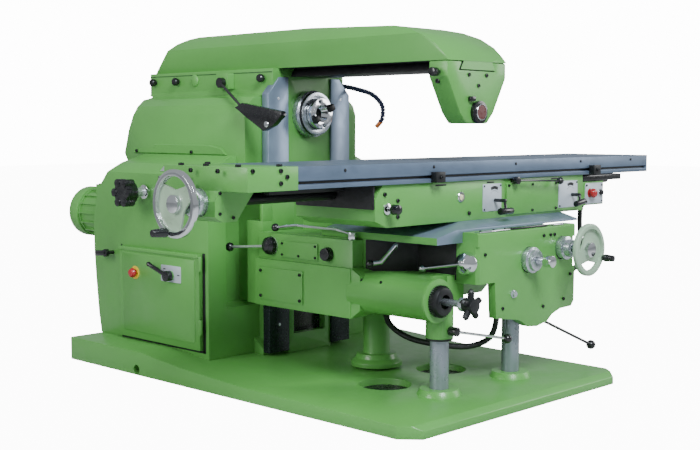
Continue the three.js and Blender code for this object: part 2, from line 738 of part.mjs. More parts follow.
function mushroom() {
  const y = BED_FACE - GAP;
  const cap = [[y - 34, 0], [y - 31, 15], [y - 22, 20], [y - 15, 20], [y - 14, 10], [y + 5, 10], [y + 5, 0]];
  return turned('y', cap, 850, 742, 20);
}

function blackButton() {
  return rod('y', 22, BED_FACE - 14, BED_FACE + 5, 930, 742, 18);
}

function feedLever() {
  const y = BED_FACE - 5 - GAP;
  const stem = rod('y', 14, y - 52, y, 176, 742, 12);
  const arm = bar([176, y - 46, 742], [176, y - 52, 706], 11, 10);
  const grip = rod('x', 26, 140, 214, y - 52, 702, 16);
  return join([stem, arm, grip]);
}

function rateLever() {
  const y = BED_FACE - 7 - GAP;
  const stem = rod('y', 14, y - 44, y, 700, 742, 12);
  const arm = bar([700, y - 40, 742], [690, y - 48, 712], 11, 10);
  const grip = bar([660, y - 48, 706], [724, y - 48, 716], 24, 14);
  return join([stem, arm, grip]);
}

function bedClamp() {
  const y = BED_FACE - GAP;
  return turned('y', [[y - 62, 0], [y - 58, 17], [y - 30, 19], [y - 28, 8], [y, 8], [y, 0]], -440, 738, 18);
}

function tripLever() {
  const x = 287;
  const z = 814.6;
  const pin = rod('y', 14, TABLE_FRONT - 14, BED_FACE - GAP, x, z, 16);
  const boss = rod('y', 30, TABLE_FRONT - 24, TABLE_FRONT - 2, x, z, 20);
  const arm = bar([x, TABLE_FRONT - 16, z], [560, TABLE_FRONT - 26, 805], 8, 8);
  return join([pin, boss, arm, ball(570, TABLE_FRONT - 26, 805, 30, 14)]);
}

function table() {
  const r = TABLE_FRONT + TABLE_WIDTH;
  let out = box(TABLE_LEFT, TABLE_RIGHT, TABLE_FRONT, r, TABLE_TOP - TABLE_THICK, TABLE_TOP);
  for (const off of [-95, 0, 95]) {
    const y = TABLE_MID + off;
    out = out.subtract(box(TABLE_LEFT + 70, TABLE_RIGHT + 5, y - 9, y + 9, TABLE_TOP - 32, TABLE_TOP + 5));
    out = out.subtract(box(TABLE_LEFT + 70, TABLE_RIGHT + 5, y - 16, y + 16, TABLE_TOP - 32, TABLE_TOP - 18));
  }
  for (const y of [TABLE_FRONT + 24, r - 44]) {
    out = out.subtract(box(TABLE_LEFT + 40, TABLE_RIGHT - 20, y, y + 20, TABLE_TOP - 9, TABLE_TOP + 5));
  }
  out = out.subtract(box(TABLE_LEFT - 5, TABLE_RIGHT - 12, TABLE_FRONT - 5, TABLE_FRONT + 12, 838, 850));
  const keelEnd = TABLE_RIGHT - 40;
  const keel = box(TABLE_LEFT + 10, keelEnd, TABLE_MID - 59, TABLE_MID + 59, BED_TOP - 24, TABLE_TOP - 40);
  const screwWay = box(TABLE_LEFT, TABLE_RIGHT, TABLE_MID - 24, TABLE_MID + 24, 700, 812);
  return out.add(keel).subtract(screwWay);
}

function tripDog(x) {
  const plate = box(x - 26, x + 26, TABLE_FRONT - 26, TABLE_FRONT - GAP, 824, 862);
  return plate.add(box(x - 20, x + 20, TABLE_FRONT - 5, TABLE_FRONT + 9, 840, 848));
}

function endBracket() {
  const x0 = TABLE_LEFT - 215;
  const x1 = TABLE_LEFT - GAP;
  const outline = [
    [x0, 822], [x0 - 20, 790], [x0 - 20, 740], [x0 + 10, 722], [x0 + 70, 722], [x0 + 150, 822],
    [x1, 822], [x1, TABLE_TOP + 1], [x0 + 14, TABLE_TOP + 1], [x0, TABLE_TOP - 12],
  ];
  const top = box(x0, x1, TABLE_FRONT, TABLE_FRONT + TABLE_WIDTH, 822, TABLE_TOP + 1);
  const boss = prismY(outline, TABLE_MID - 76, TABLE_MID + 76);
  return top.add(boss).subtract(rod('x', 37, x0 - 40, x1 + 5, TABLE_MID, WHEEL_Z, 20));
}

function graduatedCollar() {
  const x = TABLE_LEFT - 235 - GAP;
  const collar = [[x - 56, 19], [x - 56, 34], [x - 34, 36], [x - 32, 46], [x, 46], [x, 19], [x - 56, 19]];
  return turned('x', collar, TABLE_MID, WHEEL_Z, 28);
}

function tableScrew() {
  const left = TABLE_LEFT - 235 - 60;
  return rod('x', 36, left - 30, 1290, TABLE_MID, WHEEL_Z, 20);
}

function tableWheel() {
  const left = TABLE_LEFT - 235 - 60 - GAP;
  const wheel = wheelBlank(WHEEL_DIA, 40).rotate([0, 90, 0]).rotate([0, 0, -90]);
  return wheel.translate([left - 36, TABLE_MID, WHEEL_Z]);
}

function tableGrip() {
  const x = TABLE_LEFT - 235 - 60 - 36 - 14;
  const grip = [[x - 60, 0], [x - 60, 12], [x - 8, 16], [x + 2.6, 9], [x + 2.6, 0]];
  return turned('x', grip, TABLE_MID + 24, WHEEL_Z - 90, 16);
}

// ---------------------------------------------------------------------------------
const GREEN = 0x76aa78;
const STEEL = 0x9aa7b8;
const BLACK = 0x15161a;
const CHROME = 0xc9cdd2;
const RED = 0xb8262a;

const PIECES = [
  ['base', base, GREEN],
  ['column', column, GREEN],
  ['way_left', () => wayBlank(-1, 0), STEEL],
  ['way_right', () => wayBlank(1, 0), STEEL],
  ['cabinet_door', cabinetDoor, GREEN],
  ['rear_latch', doorLatch, BLACK],
  ['switch_lever', switchLever, BLACK],
  ['door_stop_button', doorStop, RED],
  ['motor', motor, GREEN],
  ['fan_cover', fanCover, GREEN],
  ['overarm', overarm, GREEN],
  ['arbor_support', arborSupport, GREEN],
  ['support_cap', supportCap, BLACK],
  ['support_knob', supportKnob, BLACK],
  ['spindle_flange', spindleFlange, CHROME],
  ['spindle_nose', spindleNose, CHROME],
  ['coolant_hose', coolantHose, BLACK],
  ['coolant_nozzle', coolantNozzle, 0xe07038],
  ['speed_lever', speedLever, BLACK],
  ['gear_selector', lobedKnob, BLACK],
  ['start_button', () => plateButton(START, 12), BLACK],
  ['jog_button', () => plateButton(JOG, 12), BLACK],
  ['stop_button', () => plateButton(STOP, 18), RED],
  ['post_left', () => guidePost(POST_LEFT), STEEL],
  ['post_right', () => guidePost(POST_RIGHT), STEEL],
  ['lift_tube', liftTube, GREEN],
  ['knee', knee, GREEN],
  ['feed_rate_knob', gearboxKnob, BLACK],
  ['knee_side_lever', sideLever, BLACK],
  ['vertical_dial', feedDial, BLACK],
  ['vertical_shaft', crankShaft, CHROME],
  ['star_handle', starHandle, BLACK],
  ['saddle_clamp_lever', frontLeftLever, CHROME],
  ['power_feed_lever', bentLever, CHROME],
  ['knee_clamp_crank', zCrank, CHROME],
  ['cross_dial', crossDial, STEEL],
  ['cross_shaft', crossShaft, CHROME],
  ['wheel_bush', wheelBush, STEEL],
  ['cross_wheel', crossWheel, GREEN],
  ['cross_grip', crossGrip, BLACK],
  ['quick_feed_lever', lowerLever, BLACK],
  ['post_clamp_lever', postClamp, BLACK],
  ['drain_hose', drainHose, BLACK],
  ['saddle', saddle, STEEL],
  ['bed', bed, GREEN],
  ['bed_cover', bedCover, GREEN],
  ['stop_mushroom', mushroom, RED],
  ['bed_button', blackButton, BLACK],
  ['bed_lever', feedLever, BLACK],
  ['rate_lever', rateLever, BLACK],
  ['bed_clamp', bedClamp, BLACK],
  ['trip_lever', tripLever, BLACK],
  ['conduit', conduit, BLACK],
  ['table', table, STEEL],
  ['dog_left', () => tripDog(-190), BLACK],
  ['dog_right', () => tripDog(850), BLACK],
  ['end_bracket', endBracket, GREEN],
  ['table_dial', graduatedCollar, STEEL],
  ['table_wheel', () => tableWheel().add(tableScrew()), STEEL],
  ['table_grip', tableGrip, BLACK],
];

const group = new THREE.Group();
PIECES.forEach(([name, make, colour]) => group.add(toMesh(name, make(), colour)));
export default group;
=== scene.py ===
# %% [markdown]
# # A knee-type milling machine, finished in Blender
# The machine arrives as a set of exact but plain solids that already move on their
# joints. This script gives every casting its soft edges and its paint, and adds the
# small pieces that a workshop eye looks for: screws, seams, plates, knobs and dials.
# Lengths are metres. +X runs along the table, +Y from the operator to the column and
# +Z up, with the origin on the floor below the face of the column ways.

# %% Load the machine
import json
import math
import bmesh
import bpy
from mathutils import Matrix, Vector


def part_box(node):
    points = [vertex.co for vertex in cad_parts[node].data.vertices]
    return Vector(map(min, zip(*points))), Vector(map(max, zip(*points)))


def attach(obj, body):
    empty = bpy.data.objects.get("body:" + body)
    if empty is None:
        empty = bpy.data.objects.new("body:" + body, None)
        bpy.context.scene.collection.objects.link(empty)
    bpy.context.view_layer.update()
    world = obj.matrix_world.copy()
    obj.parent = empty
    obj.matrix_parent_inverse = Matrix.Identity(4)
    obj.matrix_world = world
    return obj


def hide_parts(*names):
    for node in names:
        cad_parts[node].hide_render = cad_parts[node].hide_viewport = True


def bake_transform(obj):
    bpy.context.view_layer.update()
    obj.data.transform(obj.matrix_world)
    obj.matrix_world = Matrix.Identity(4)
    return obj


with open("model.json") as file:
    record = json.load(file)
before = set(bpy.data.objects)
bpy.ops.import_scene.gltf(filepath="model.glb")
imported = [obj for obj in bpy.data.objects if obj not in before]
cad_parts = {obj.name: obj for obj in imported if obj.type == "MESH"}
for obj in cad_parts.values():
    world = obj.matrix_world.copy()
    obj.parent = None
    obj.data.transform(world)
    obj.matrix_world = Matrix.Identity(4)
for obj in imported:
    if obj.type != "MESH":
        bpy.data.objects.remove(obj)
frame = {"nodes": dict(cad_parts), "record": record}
nodes = frame["nodes"]
body_of_node = {n: b for b, ns in frame["record"]["behaviour"]["bodies"].items() for n in ns}
slot_of_node = {s["node"]: s["material_slot"] for s in frame["record"]["subparts"]}
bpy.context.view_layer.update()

# %% [markdown]
# ## Camera, light and floor
# The view is a three-quarter one from the operator's left, at about chest height, with
# a moderately long lens so that upright edges stay almost upright. The light is what a
# catalogue studio uses: a wide soft source above and to the left, a weaker one on the
# right, and a pale surround that glossy paint and chrome can mirror.

# %% Camera
camera_data = bpy.data.cameras.new("camera")
camera_data.lens = 60.0
camera_data.clip_end = 60
camera = bpy.data.objects.new("camera", camera_data)
camera.location = (-3.4466, -3.5682, 1.0265)
camera.rotation_euler = (math.radians(85.16), 0, math.radians(-45.95))
bpy.context.scene.collection.objects.link(camera)
bpy.context.scene.camera = camera
print("camera at", [round(v, 2) for v in camera.location])


# %% [markdown]
# Three square lamps make the soft shadows. Their faces are large, since a shadow's edge
# is as soft as its lamp is wide. The world shows white paper to the camera but lights
# the machine far less, so the background stays white and the paint keeps its colour.


# %% Lights
def soft_light(name, place, target, size, power):
    """A square area light that faces a target point."""
    data = bpy.data.lights.new(name, "AREA")
    data.shape = "SQUARE"
    data.size = size
    data.energy = power
    light = bpy.data.objects.new(name, data)
    light.location = place
    light.rotation_euler = (Vector(target) - Vector(place)).to_track_quat("-Z", "Y").to_euler()
    bpy.context.scene.collection.objects.link(light)
    return light


def node_with(tree, kind, **values):
    """A new shader node of a kind, with its inputs set by name."""
    node = tree.nodes.new("ShaderNode" + kind)
    for name, value in values.items():
        node.inputs[name.replace("_", " ")].default_value = value
    return node


PAPER_GLOW = 14.0
middle = (0, -0.3, 0.7)
key = soft_light("key_light", (-1.8, -4.2, 4.4), middle, 2.0, 450)
key.data.color = (0.88, 0.96, 1.0)
soft_light("side_light", (-5.0, 0.6, 2.6), middle, 2.0, 150)
soft_light("fill_light", (4.2, -3.0, 2.4), middle, 2.2, 90)
world = bpy.data.worlds.new("studio")
bpy.context.scene.world = world
world.use_nodes = True
surround = world.node_tree.nodes["Background"]
surround.inputs["Color"].default_value = (0.90, 0.95, 0.98, 1)
surround.inputs["Strength"].default_value = 0.44
paper = node_with(world.node_tree, "Background", Color=(1, 1, 1, 1), Strength=PAPER_GLOW)
seen = node_with(world.node_tree, "LightPath")
choice = node_with(world.node_tree, "MixShader")
world.node_tree.links.new(seen.outputs["Is Camera Ray"], choice.inputs["Fac"])
world.node_tree.links.new(surround.outputs["Background"], choice.inputs[1])
world.node_tree.links.new(paper.outputs["Background"], choice.inputs[2])
world.node_tree.links.new(choice.outputs["Shader"], world.node_tree.nodes["World Output"].inputs["Surface"])

# %% [markdown]
# ## Materials
# Each finish is a small recipe: a base colour that varies slightly over the surface, a
# roughness that varies more than the colour, and a fine bump. Paint on a casting is
# not flat, because the filler below it is rubbed down by hand, so it gets a slow swell
# and a fine orange peel. Ground steel carries parallel scratches, which are noise
# stretched along the direction in which the stone travelled.


# %% Material helper
def finish_recipe(name, colour, rough, metal=0.0, colour_swing=0.06, rough_swing=0.08,
                  swell=3.0, grain=(220, 220, 220), bump=0.03, coat=0.0, shine=0.5, speck=None):
    """A principled material with noise in its colour, roughness and bump."""
    material = bpy.data.materials.new(name)
    material.use_nodes = True
    tree = material.node_tree
    shader = tree.nodes["Principled BSDF"]
    shader.inputs["Metallic"].default_value = metal
    shader.inputs["Coat Weight"].default_value = coat
    shader.inputs["Coat Roughness"].default_value = 0.08
    shader.inputs["Specular IOR Level"].default_value = shine
    place = node_with(tree, "TexCoord")

    slow = node_with(tree, "TexNoise", Scale=swell, Detail=4)
    tree.links.new(place.outputs["Object"], slow.inputs["Vector"])
    tint = node_with(tree, "ValToRGB")
    tint.color_ramp.elements[0].position = 0.3
    tint.color_ramp.elements[1].position = 0.7
    tint.color_ramp.elements[0].color = [c * (1 - colour_swing) for c in colour] + [1]
    tint.color_ramp.elements[1].color = [min(1, c * (1 + colour_swing)) for c in colour] + [1]
    tree.links.new(slow.outputs["Fac"], tint.inputs["Fac"])
    colour_out = tint.outputs["Color"]

    stretch = node_with(tree, "Mapping", Scale=grain)
    tree.links.new(place.outputs["Object"], stretch.inputs["Vector"])
    fine = node_with(tree, "TexNoise", Scale=1.0, Detail=3)
    tree.links.new(stretch.outputs["Vector"], fine.inputs["Vector"])

    if speck:
        mixer = node_with(tree, "Mix")
        mixer.data_type = "RGBA"
        mixer.inputs["B"].default_value = list(speck) + [1]
        where = node_with(tree, "MapRange", From_Min=0.56, From_Max=0.74, To_Max=0.35)
        tree.links.new(fine.outputs["Fac"], where.inputs["Value"])
        tree.links.new(where.outputs["Result"], mixer.inputs["Factor"])
        tree.links.new(colour_out, mixer.inputs["A"])
        colour_out = mixer.outputs["Result"]
    tree.links.new(colour_out, shader.inputs["Base Color"])

    smudge = node_with(tree, "TexNoise", Scale=swell * 4, Detail=6)
    tree.links.new(place.outputs["Object"], smudge.inputs["Vector"])
    gloss = node_with(tree, "MapRange", From_Min=0.3, From_Max=0.7,
                      To_Min=max(0.02, rough - rough_swing), To_Max=rough + rough_swing)
    tree.links.new(smudge.outputs["Fac"], gloss.inputs["Value"])
    tree.links.new(gloss.outputs["Result"], shader.inputs["Roughness"])

    relief = node_with(tree, "Bump", Strength=bump * 4, Distance=0.0006)
    tree.links.new(fine.outputs["Fac"], relief.inputs["Height"])
    tree.links.new(relief.outputs["Normal"], shader.inputs["Normal"])
    return material


# %% [markdown]
# Each finish gets its own base colour and roughness. The paint is a mid green with a
# thin clear coat, steels differ in how fine and how straight their scratches run, and
# rubber carries pale specks of dust. One shared recipe keeps the set consistent.

# %% The finishes of the machine
GREEN = (0.098, 0.320, 0.067)
paint = finish_recipe("green_paint", GREEN, 0.36, colour_swing=0.07, swell=2.2, bump=0.035, coat=0.10,
                      shine=0.38)
ground = finish_recipe("ground_steel", (0.20, 0.26, 0.35), 0.36, metal=0.55, swell=5,
                       grain=(6, 420, 420), bump=0.05, colour_swing=0.10)
table_steel = finish_recipe("table_steel", (0.125, 0.170, 0.245), 0.42, metal=0.50, swell=5,
                            grain=(6, 420, 420), bump=0.05, colour_swing=0.12)
post_steel = finish_recipe("post_steel", (0.27, 0.30, 0.35), 0.30, metal=0.45, swell=4,
                           grain=(60, 60, 6), bump=0.008, colour_swing=0.05)
oil_and_shade_steel = finish_recipe("oil_and_shade_steel", (0.030, 0.036, 0.046), 0.26, metal=0.6, swell=7,
                            grain=(420, 420, 8), bump=0.05, colour_swing=0.25)
turned_steel = finish_recipe("turned_steel", (0.50, 0.54, 0.59), 0.26, metal=0.85, swell=7,
                             grain=(30, 30, 500), bump=0.012, colour_swing=0.06)
chrome = finish_recipe("polished_chrome", (0.74, 0.76, 0.79), 0.13, metal=1.0, swell=14,
                       rough_swing=0.05, bump=0.01, colour_swing=0.05)
black = finish_recipe("black_plastic", (0.007, 0.007, 0.009), 0.24, swell=16, colour_swing=0.3,
                      bump=0.02, coat=0.2)
# Blackened steel for screws and dogs. The same dark finish also paints shade under the table, below the
# overarm, in the fan slots, in the taper throat and on the spindle flange's ring.
dark = finish_recipe("blackened_steel_and_painted_shade", (0.012, 0.0125, 0.014), 0.42, metal=0.35, swell=12,
                     bump=0.06, colour_swing=0.25)
red = finish_recipe("red_plastic", (0.36, 0.014, 0.018), 0.25, swell=20, bump=0.02, coat=0.3)
yellow = finish_recipe("yellow_ring", (0.75, 0.52, 0.03), 0.32, swell=20, bump=0.02)
rubber = finish_recipe("black_rubber", (0.009, 0.009, 0.010), 0.55, swell=12, bump=0.08,
                       colour_swing=0.2, speck=(0.025, 0.025, 0.028))
blue_hose = finish_recipe("hose_segments", (0.018, 0.024, 0.075), 0.32, swell=12, bump=0.04,
                          colour_swing=0.2)
orange = finish_recipe("orange_nozzle", (0.80, 0.22, 0.05), 0.35, swell=20, bump=0.03)
plate_metal = finish_recipe("plate_aluminium", (0.62, 0.64, 0.66), 0.33, metal=0.8, swell=18,
                            grain=(500, 500, 12), bump=0.04)
grey_paint = finish_recipe("grey_paint", (0.40, 0.44, 0.49), 0.42, swell=10, bump=0.05)
glass = finish_recipe("sight_glass", (0.72, 0.66, 0.40), 0.08, swell=20, bump=0.005, coat=0.6)
floor_finish = finish_recipe("studio_floor", (0.50, 0.50, 0.50), 0.55, swell=1.2, bump=0.01,
                             colour_swing=0.01)
of_slot = {"green_paint": paint, "machined_steel": ground, "chrome": chrome, "black_plastic": black,
           "red_plastic": red, "rubber": rubber, "orange_plastic": orange}
slot_of = {m: s for s, m in of_slot.items()}
slot_of.update({turned_steel: "machined_steel", table_steel: "machined_steel",
                oil_and_shade_steel: "machined_steel", post_steel: "machined_steel", dark: "black_plastic",
                plate_metal: "machined_steel", blue_hose: "rubber", grey_paint: "machined_steel",
                glass: "chrome", yellow: "orange_plastic"})
print("finishes", len(bpy.data.materials))

# %% [markdown]
# ## The floor
# A seamless sheet of paper under the machine catches its shadow. It is only a stage,
# so it doesn't belong to the machine. A share of its face glows for the camera alone,
# which bleaches it like paper in a bright studio and adds no light to the machine.

# %% Floor
sheet = bmesh.new()
bmesh.ops.create_grid(sheet, x_segments=8, y_segments=8, size=24)
floor_mesh = bpy.data.meshes.new("floor")
sheet.to_mesh(floor_mesh)
sheet.free()
floor = bpy.data.objects.new("floor", floor_mesh)
floor.location.z = -0.001
floor_tree = floor_finish.node_tree
GLOW_SHARE = 0.86
floor_glow = node_with(floor_tree, "Emission", Strength=PAPER_GLOW)
floor_seen = node_with(floor_tree, "LightPath")
share = node_with(floor_tree, "Math")
share.operation = "MULTIPLY"
share.inputs[1].default_value = GLOW_SHARE
floor_mix = node_with(floor_tree, "MixShader")
floor_tree.links.new(floor_seen.outputs["Is Camera Ray"], share.inputs[0])
floor_tree.links.new(share.outputs["Value"], floor_mix.inputs["Fac"])
floor_tree.links.new(floor_tree.nodes["Principled BSDF"].outputs["BSDF"], floor_mix.inputs[1])
floor_tree.links.new(floor_glow.outputs["Emission"], floor_mix.inputs[2])
floor_tree.links.new(floor_mix.outputs["Shader"], floor_tree.nodes["Material Output"].inputs["Surface"])
floor_mesh.materials.append(floor_finish)
bpy.context.scene.collection.objects.link(floor)
print("floor laid")

# %% [markdown]
# ## Softened castings
# A casting has no knife edges: the pattern maker gives every corner a radius, and even
# machined edges are broken with a file. Each solid is copied, its coplanar triangles
# are joined back into faces, its long edges are rounded, and its curved faces are
# shaded smooth while real corners stay crisp. The copy then stands for the solid.


# %% Turn a worked mesh into a piece of the machine
SMOOTH_ANGLE = 38


def make_piece(name, work, material, body, smooth=SMOOTH_ANGLE, replaced=()):
    """Writes a bmesh to a new object that rides on a body of the machine."""
    for edge in work.edges:
        sharp = len(edge.link_faces) != 2 or edge.calc_face_angle(0) > math.radians(smooth)
        edge.smooth = not sharp
    for face in work.faces:
        face.smooth = True
    mesh = bpy.data.meshes.new(name)
    work.to_mesh(mesh)
    work.free()
    mesh.materials.append(material)
    piece = bpy.data.objects.new(name, mesh)
    bpy.context.scene.collection.objects.link(piece)
    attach(piece, body)
    if replaced:
        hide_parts(*replaced)
    return piece


CORNER_ANGLE = math.radians(24)


def round_edges(work, width):
    """Rounds every edge that is sharp and long enough to take the radius."""
    picked = []
    for edge in work.edges:
        if len(edge.link_faces) == 2 and edge.calc_face_angle(0) > CORNER_ANGLE:
            if edge.calc_length() > width * 2.2:
                picked.append(edge)
    bmesh.ops.bevel(work, geom=picked, offset=width, segments=2, profile=0.5, affect="EDGES",
                    clamp_overlap=True)


print("corners are those that turn more than", round(math.degrees(CORNER_ANGLE)), "degrees")


# %% [markdown]
# A modifier could round the edges, but it would also round the short ones on curved
# faces. Working on the mesh allows a choice: only edges that turn sharply and are
# longer than the radius are cut, and no corner leaves the solid's own box.


# %% Soften one solid
def soften(node, width, material=None):
    """A copy of a solid with rounded edges, which takes the solid's place."""
    work = bmesh.new()
    work.from_mesh(nodes[node].data)
    bmesh.ops.remove_doubles(work, verts=work.verts, dist=0.00002)
    bmesh.ops.dissolve_limit(work, angle_limit=math.radians(0.6), verts=work.verts, edges=work.edges)
    low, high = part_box(node)
    round_edges(work, width)
    for vert in work.verts:
        for i in range(3):
            vert.co[i] = min(max(vert.co[i], low[i]), high[i])
    bmesh.ops.triangulate(work, faces=[f for f in work.faces if len(f.verts) > 4])
    return make_piece(node + "_finished", work, material or of_slot[slot_of_node[node]],
                      body_of_node[node], replaced=(node,))


print("solids to soften", len(nodes))

# %% [markdown]
# The radius follows the casting: up to 12 mm on the overarm, about 1 mm on a lever. Most
# solids take the finish of their slot in the record, and the ones that differ, such as
# dark dogs on the bright table, are named here.

# %% Soften every solid
soft_width = {"base": 0.007, "column": 0.009, "overarm": 0.012, "arbor_support": 0.007, "knee": 0.006,
              "bed": 0.004, "saddle": 0.003, "table": 0.0018, "end_bracket": 0.004, "cabinet_door": 0.003,
              "bed_cover": 0.002, "motor": 0.002, "fan_cover": 0.004, "way_left": 0.0015,
              "way_right": 0.0015, "lift_tube": 0.002, "speed_lever": 0.004}
own_finish = {"post_left": post_steel, "post_right": post_steel, "cross_dial": turned_steel,
              "wheel_bush": turned_steel, "table_dial": turned_steel, "vertical_shaft": turned_steel,
              "spindle_flange": turned_steel, "spindle_nose": chrome, "coolant_hose": blue_hose,
              "star_handle": dark, "vertical_dial": dark, "dog_left": dark, "dog_right": dark,
              "speed_lever": black, "table": table_steel, "knee_side_lever": plate_metal,
              "gear_selector": black, "table_wheel": chrome, "cross_wheel": chrome}
finished = {}
for node in sorted(nodes):
    finished[node] = soften(node, soft_width.get(node, 0.0012), own_finish.get(node))
print("softened", len(finished), "solids")

# %% [markdown]
# A handwheel is cast in one piece, but only its rim is polished, where the hand runs.
# The web keeps its paint. Faces are sorted by their distance from the wheel's axis.

# %% Handwheel rims
pale_paint = finish_recipe("pale_paint", (0.30, 0.43, 0.30), 0.34, swell=6, bump=0.03, coat=0.1)


def refinish(node, material, chosen):
    """Gives the faces that pass a test another finish."""
    mesh = finished[node].data
    mesh.materials.append(material)
    for face in mesh.polygons:
        if chosen(face):
            face.material_index = len(mesh.materials) - 1


def off_axis(a, b, centre):
    """Measures how far a face lies from an axis, seen along that axis."""
    return lambda face: math.hypot(face.center[a] - centre[0], face.center[b] - centre[1])


TABLE_WHEEL_Y, TABLE_WHEEL_Z = -0.640, 0.784
CROSS_WHEEL_X, CROSS_WHEEL_Z = 0.424, 0.550
HUB_RADIUS, RIM_START = 0.0302, 0.088
table_axis = off_axis(1, 2, (TABLE_WHEEL_Y, TABLE_WHEEL_Z))
cross_axis = off_axis(0, 2, (CROSS_WHEEL_X, CROSS_WHEEL_Z))
refinish("table_wheel", pale_paint, lambda face: HUB_RADIUS < table_axis(face) < RIM_START)
refinish("cross_wheel", pale_paint, lambda face: cross_axis(face) > HUB_RADIUS)
# The lead screw behind the wheel takes the dark finish as painted shade under the table.
refinish("table_wheel", dark, lambda face: face.center.x > -1.09)
print("rims polished")

# %% [markdown]
# Levers are bright rods that end in black moulded balls, because bare steel is cold and
# slippery in an oily hand. The saddle is painted at its sides and ground on its top, and
# the column ways are darker below the knee, with oil on them and painted shade under the knee.


# %% Balls, painted sides, and ways with oil and painted shade
def near(spot, reach):
    """A test for faces that lie close to a point."""
    return lambda face: (face.center - Vector(spot)).length < reach


refinish("knee_side_lever", black, near((-0.344, 0.124, 0.530), 0.022))
refinish("knee_side_lever", black, near((-0.334, -0.092, 0.548), 0.044))
refinish("power_feed_lever", black, near((-0.304, -0.112, 0.622), 0.020))
refinish("post_clamp_lever", chrome, lambda face: -0.170 < face.center.x < 0.018)
refinish("knee_clamp_crank", black, near((-0.290, -0.618, 0.516), 0.0165))
SELECTOR_Y, SELECTOR_Z = 0.516, 0.748
selector_axis = off_axis(1, 2, (SELECTOR_Y, SELECTOR_Z))
refinish("gear_selector", plate_metal, lambda face: face.center.x > -0.547 and selector_axis(face) < 0.021)
nose_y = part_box("spindle_nose")[0].y + 0.0215
refinish("spindle_nose", dark, lambda face: face.center.y < nose_y)
# The side walls of the flange's inner ring take the dark finish as painted shade.
refinish("spindle_flange", dark, lambda face: -0.0430 < face.center.y < -0.0270 and face.normal.y > -0.3)
refinish("saddle", paint, lambda face: face.normal.x < -0.6)
# The table's underside takes the dark finish as painted shade under the table.
refinish("table", dark, lambda face: face.center.z < 0.8225)
# Below this height the ways darken: oil on the steel, and painted shade under the knee.
OIL_AND_SHADE_LINE = 0.40
for node in ("way_left", "way_right"):
    work = bmesh.new()
    work.from_mesh(finished[node].data)
    parts = work.verts[:] + work.edges[:] + work.faces[:]
    bmesh.ops.bisect_plane(work, geom=parts, plane_co=(0, 0, OIL_AND_SHADE_LINE), plane_no=(0, 0, 1))
    work.to_mesh(finished[node].data)
    work.free()
    refinish(node, oil_and_shade_steel, lambda face: face.center.z < OIL_AND_SHADE_LINE)
print("handles, sides and ways done")

# %% [markdown]
# ## Small parts, made by two workshop methods
# Most fittings on the machine come from one of two methods: they are turned on a lathe,
# or cut from a plate or bar. The helpers below copy those methods. A turned part is a
# profile swept round an axis, and a plate is an outline with thickness. Each helper
# adds to an open mesh, so that equal parts can share one piece.


# %% Turned parts
LEFT, FRONT, UP = (-1, 0, 0), (0, -1, 0), (0, 0, 1)


def aim(axis):
    """The turn that takes +Z to the given axis."""
    return Vector(UP).rotation_difference(Vector(axis)).to_matrix().to_4x4()


def turned(work, profile, place, axis=UP, steps=48):
    """Adds a closed turned solid: profile is (radius, height) from axis to axis."""
    move = Matrix.Translation(place) @ aim(axis)
    rings = []
    for radius, height in profile:
        if radius < 1e-6:
            rings.append([work.verts.new(move @ Vector((0, 0, height)))])
            continue
        ring = []
        for i in range(steps):
            a = 2 * math.pi * i / steps
            ring.append(work.verts.new(move @ Vector((radius * math.cos(a), radius * math.sin(a), height))))
        rings.append(ring)
    for low, high in zip(rings, rings[1:]):
        for i in range(steps):
            k = (i + 1) % steps
            if len(low) == 1 and len(high) > 1:
                work.faces.new((low[0], high[k], high[i]))
            elif len(high) == 1 and len(low) > 1:
                work.faces.new((low[i], low[k], high[0]))
            elif len(low) > 1:
                work.faces.new((low[i], low[k], high[k], high[i]))
    return work


def closed_piece(name, work, material, body, smooth=SMOOTH_ANGLE, replaced=()):
    """Turns every face outward, then makes the piece."""
    bmesh.ops.recalc_face_normals(work, faces=work.faces)
    return make_piece(name, work, material, body, smooth, replaced)


def turned_piece(name, profile, places, axis, material, body, steps=48):
    """One or more equal turned parts in a single piece."""
    work = bmesh.new()
    for place in places:
        turned(work, profile, place, axis, steps)
    return closed_piece(name, work, material, body)


print("a part aimed forward points to", [round(v) for v in aim(FRONT) @ Vector(UP)])

# %% [markdown]
# Bars, strips and lugs are blocks with a broken edge. A bevel on a cube is enough, as a
# real one gets the same from a file. The part is worked on its own and then poured into
# the mesh that collects the piece.


# %% Plates and blocks
def pour(part, work):
    """Adds one worked part to the mesh that collects a piece."""
    mesh = bpy.data.meshes.new("part")
    part.to_mesh(mesh)
    part.free()
    work.from_mesh(mesh)
    bpy.data.meshes.remove(mesh)


def small_block(work, move):
    """Adds a unit cube moved, turned and stretched by one matrix."""
    part = bmesh.new()
    bmesh.ops.create_cube(part, size=1)
    bmesh.ops.transform(part, matrix=move, verts=part.verts)
    pour(part, work)


def block(work, low, high, width=0.0):
    """Adds a block between two corners, with its edges rounded."""
    part = bmesh.new()
    bmesh.ops.create_cube(part, size=1)
    for vert in part.verts:
        for i in range(3):
            vert.co[i] = (low[i] + high[i]) / 2 + vert.co[i] * (high[i] - low[i])
    if width:
        bmesh.ops.bevel(part, geom=part.edges[:], offset=width, segments=2, profile=0.5,
                        affect="EDGES", clamp_overlap=True)
    pour(part, work)


def block_piece(name, corners, material, body, width=0.001):
    """One piece made of several rounded blocks."""
    work = bmesh.new()
    for low, high in corners:
        block(work, low, high, width)
    return make_piece(name, work, material, body)


print("blocks are poured into one mesh per piece")

# %% [markdown]
# Covers and labels are plates with round corners, milled or punched from sheet. The
# outline is drawn once, lifted to the plate's thickness and drawn in a little at the
# top, which gives the narrow bright edge that a plate shows.


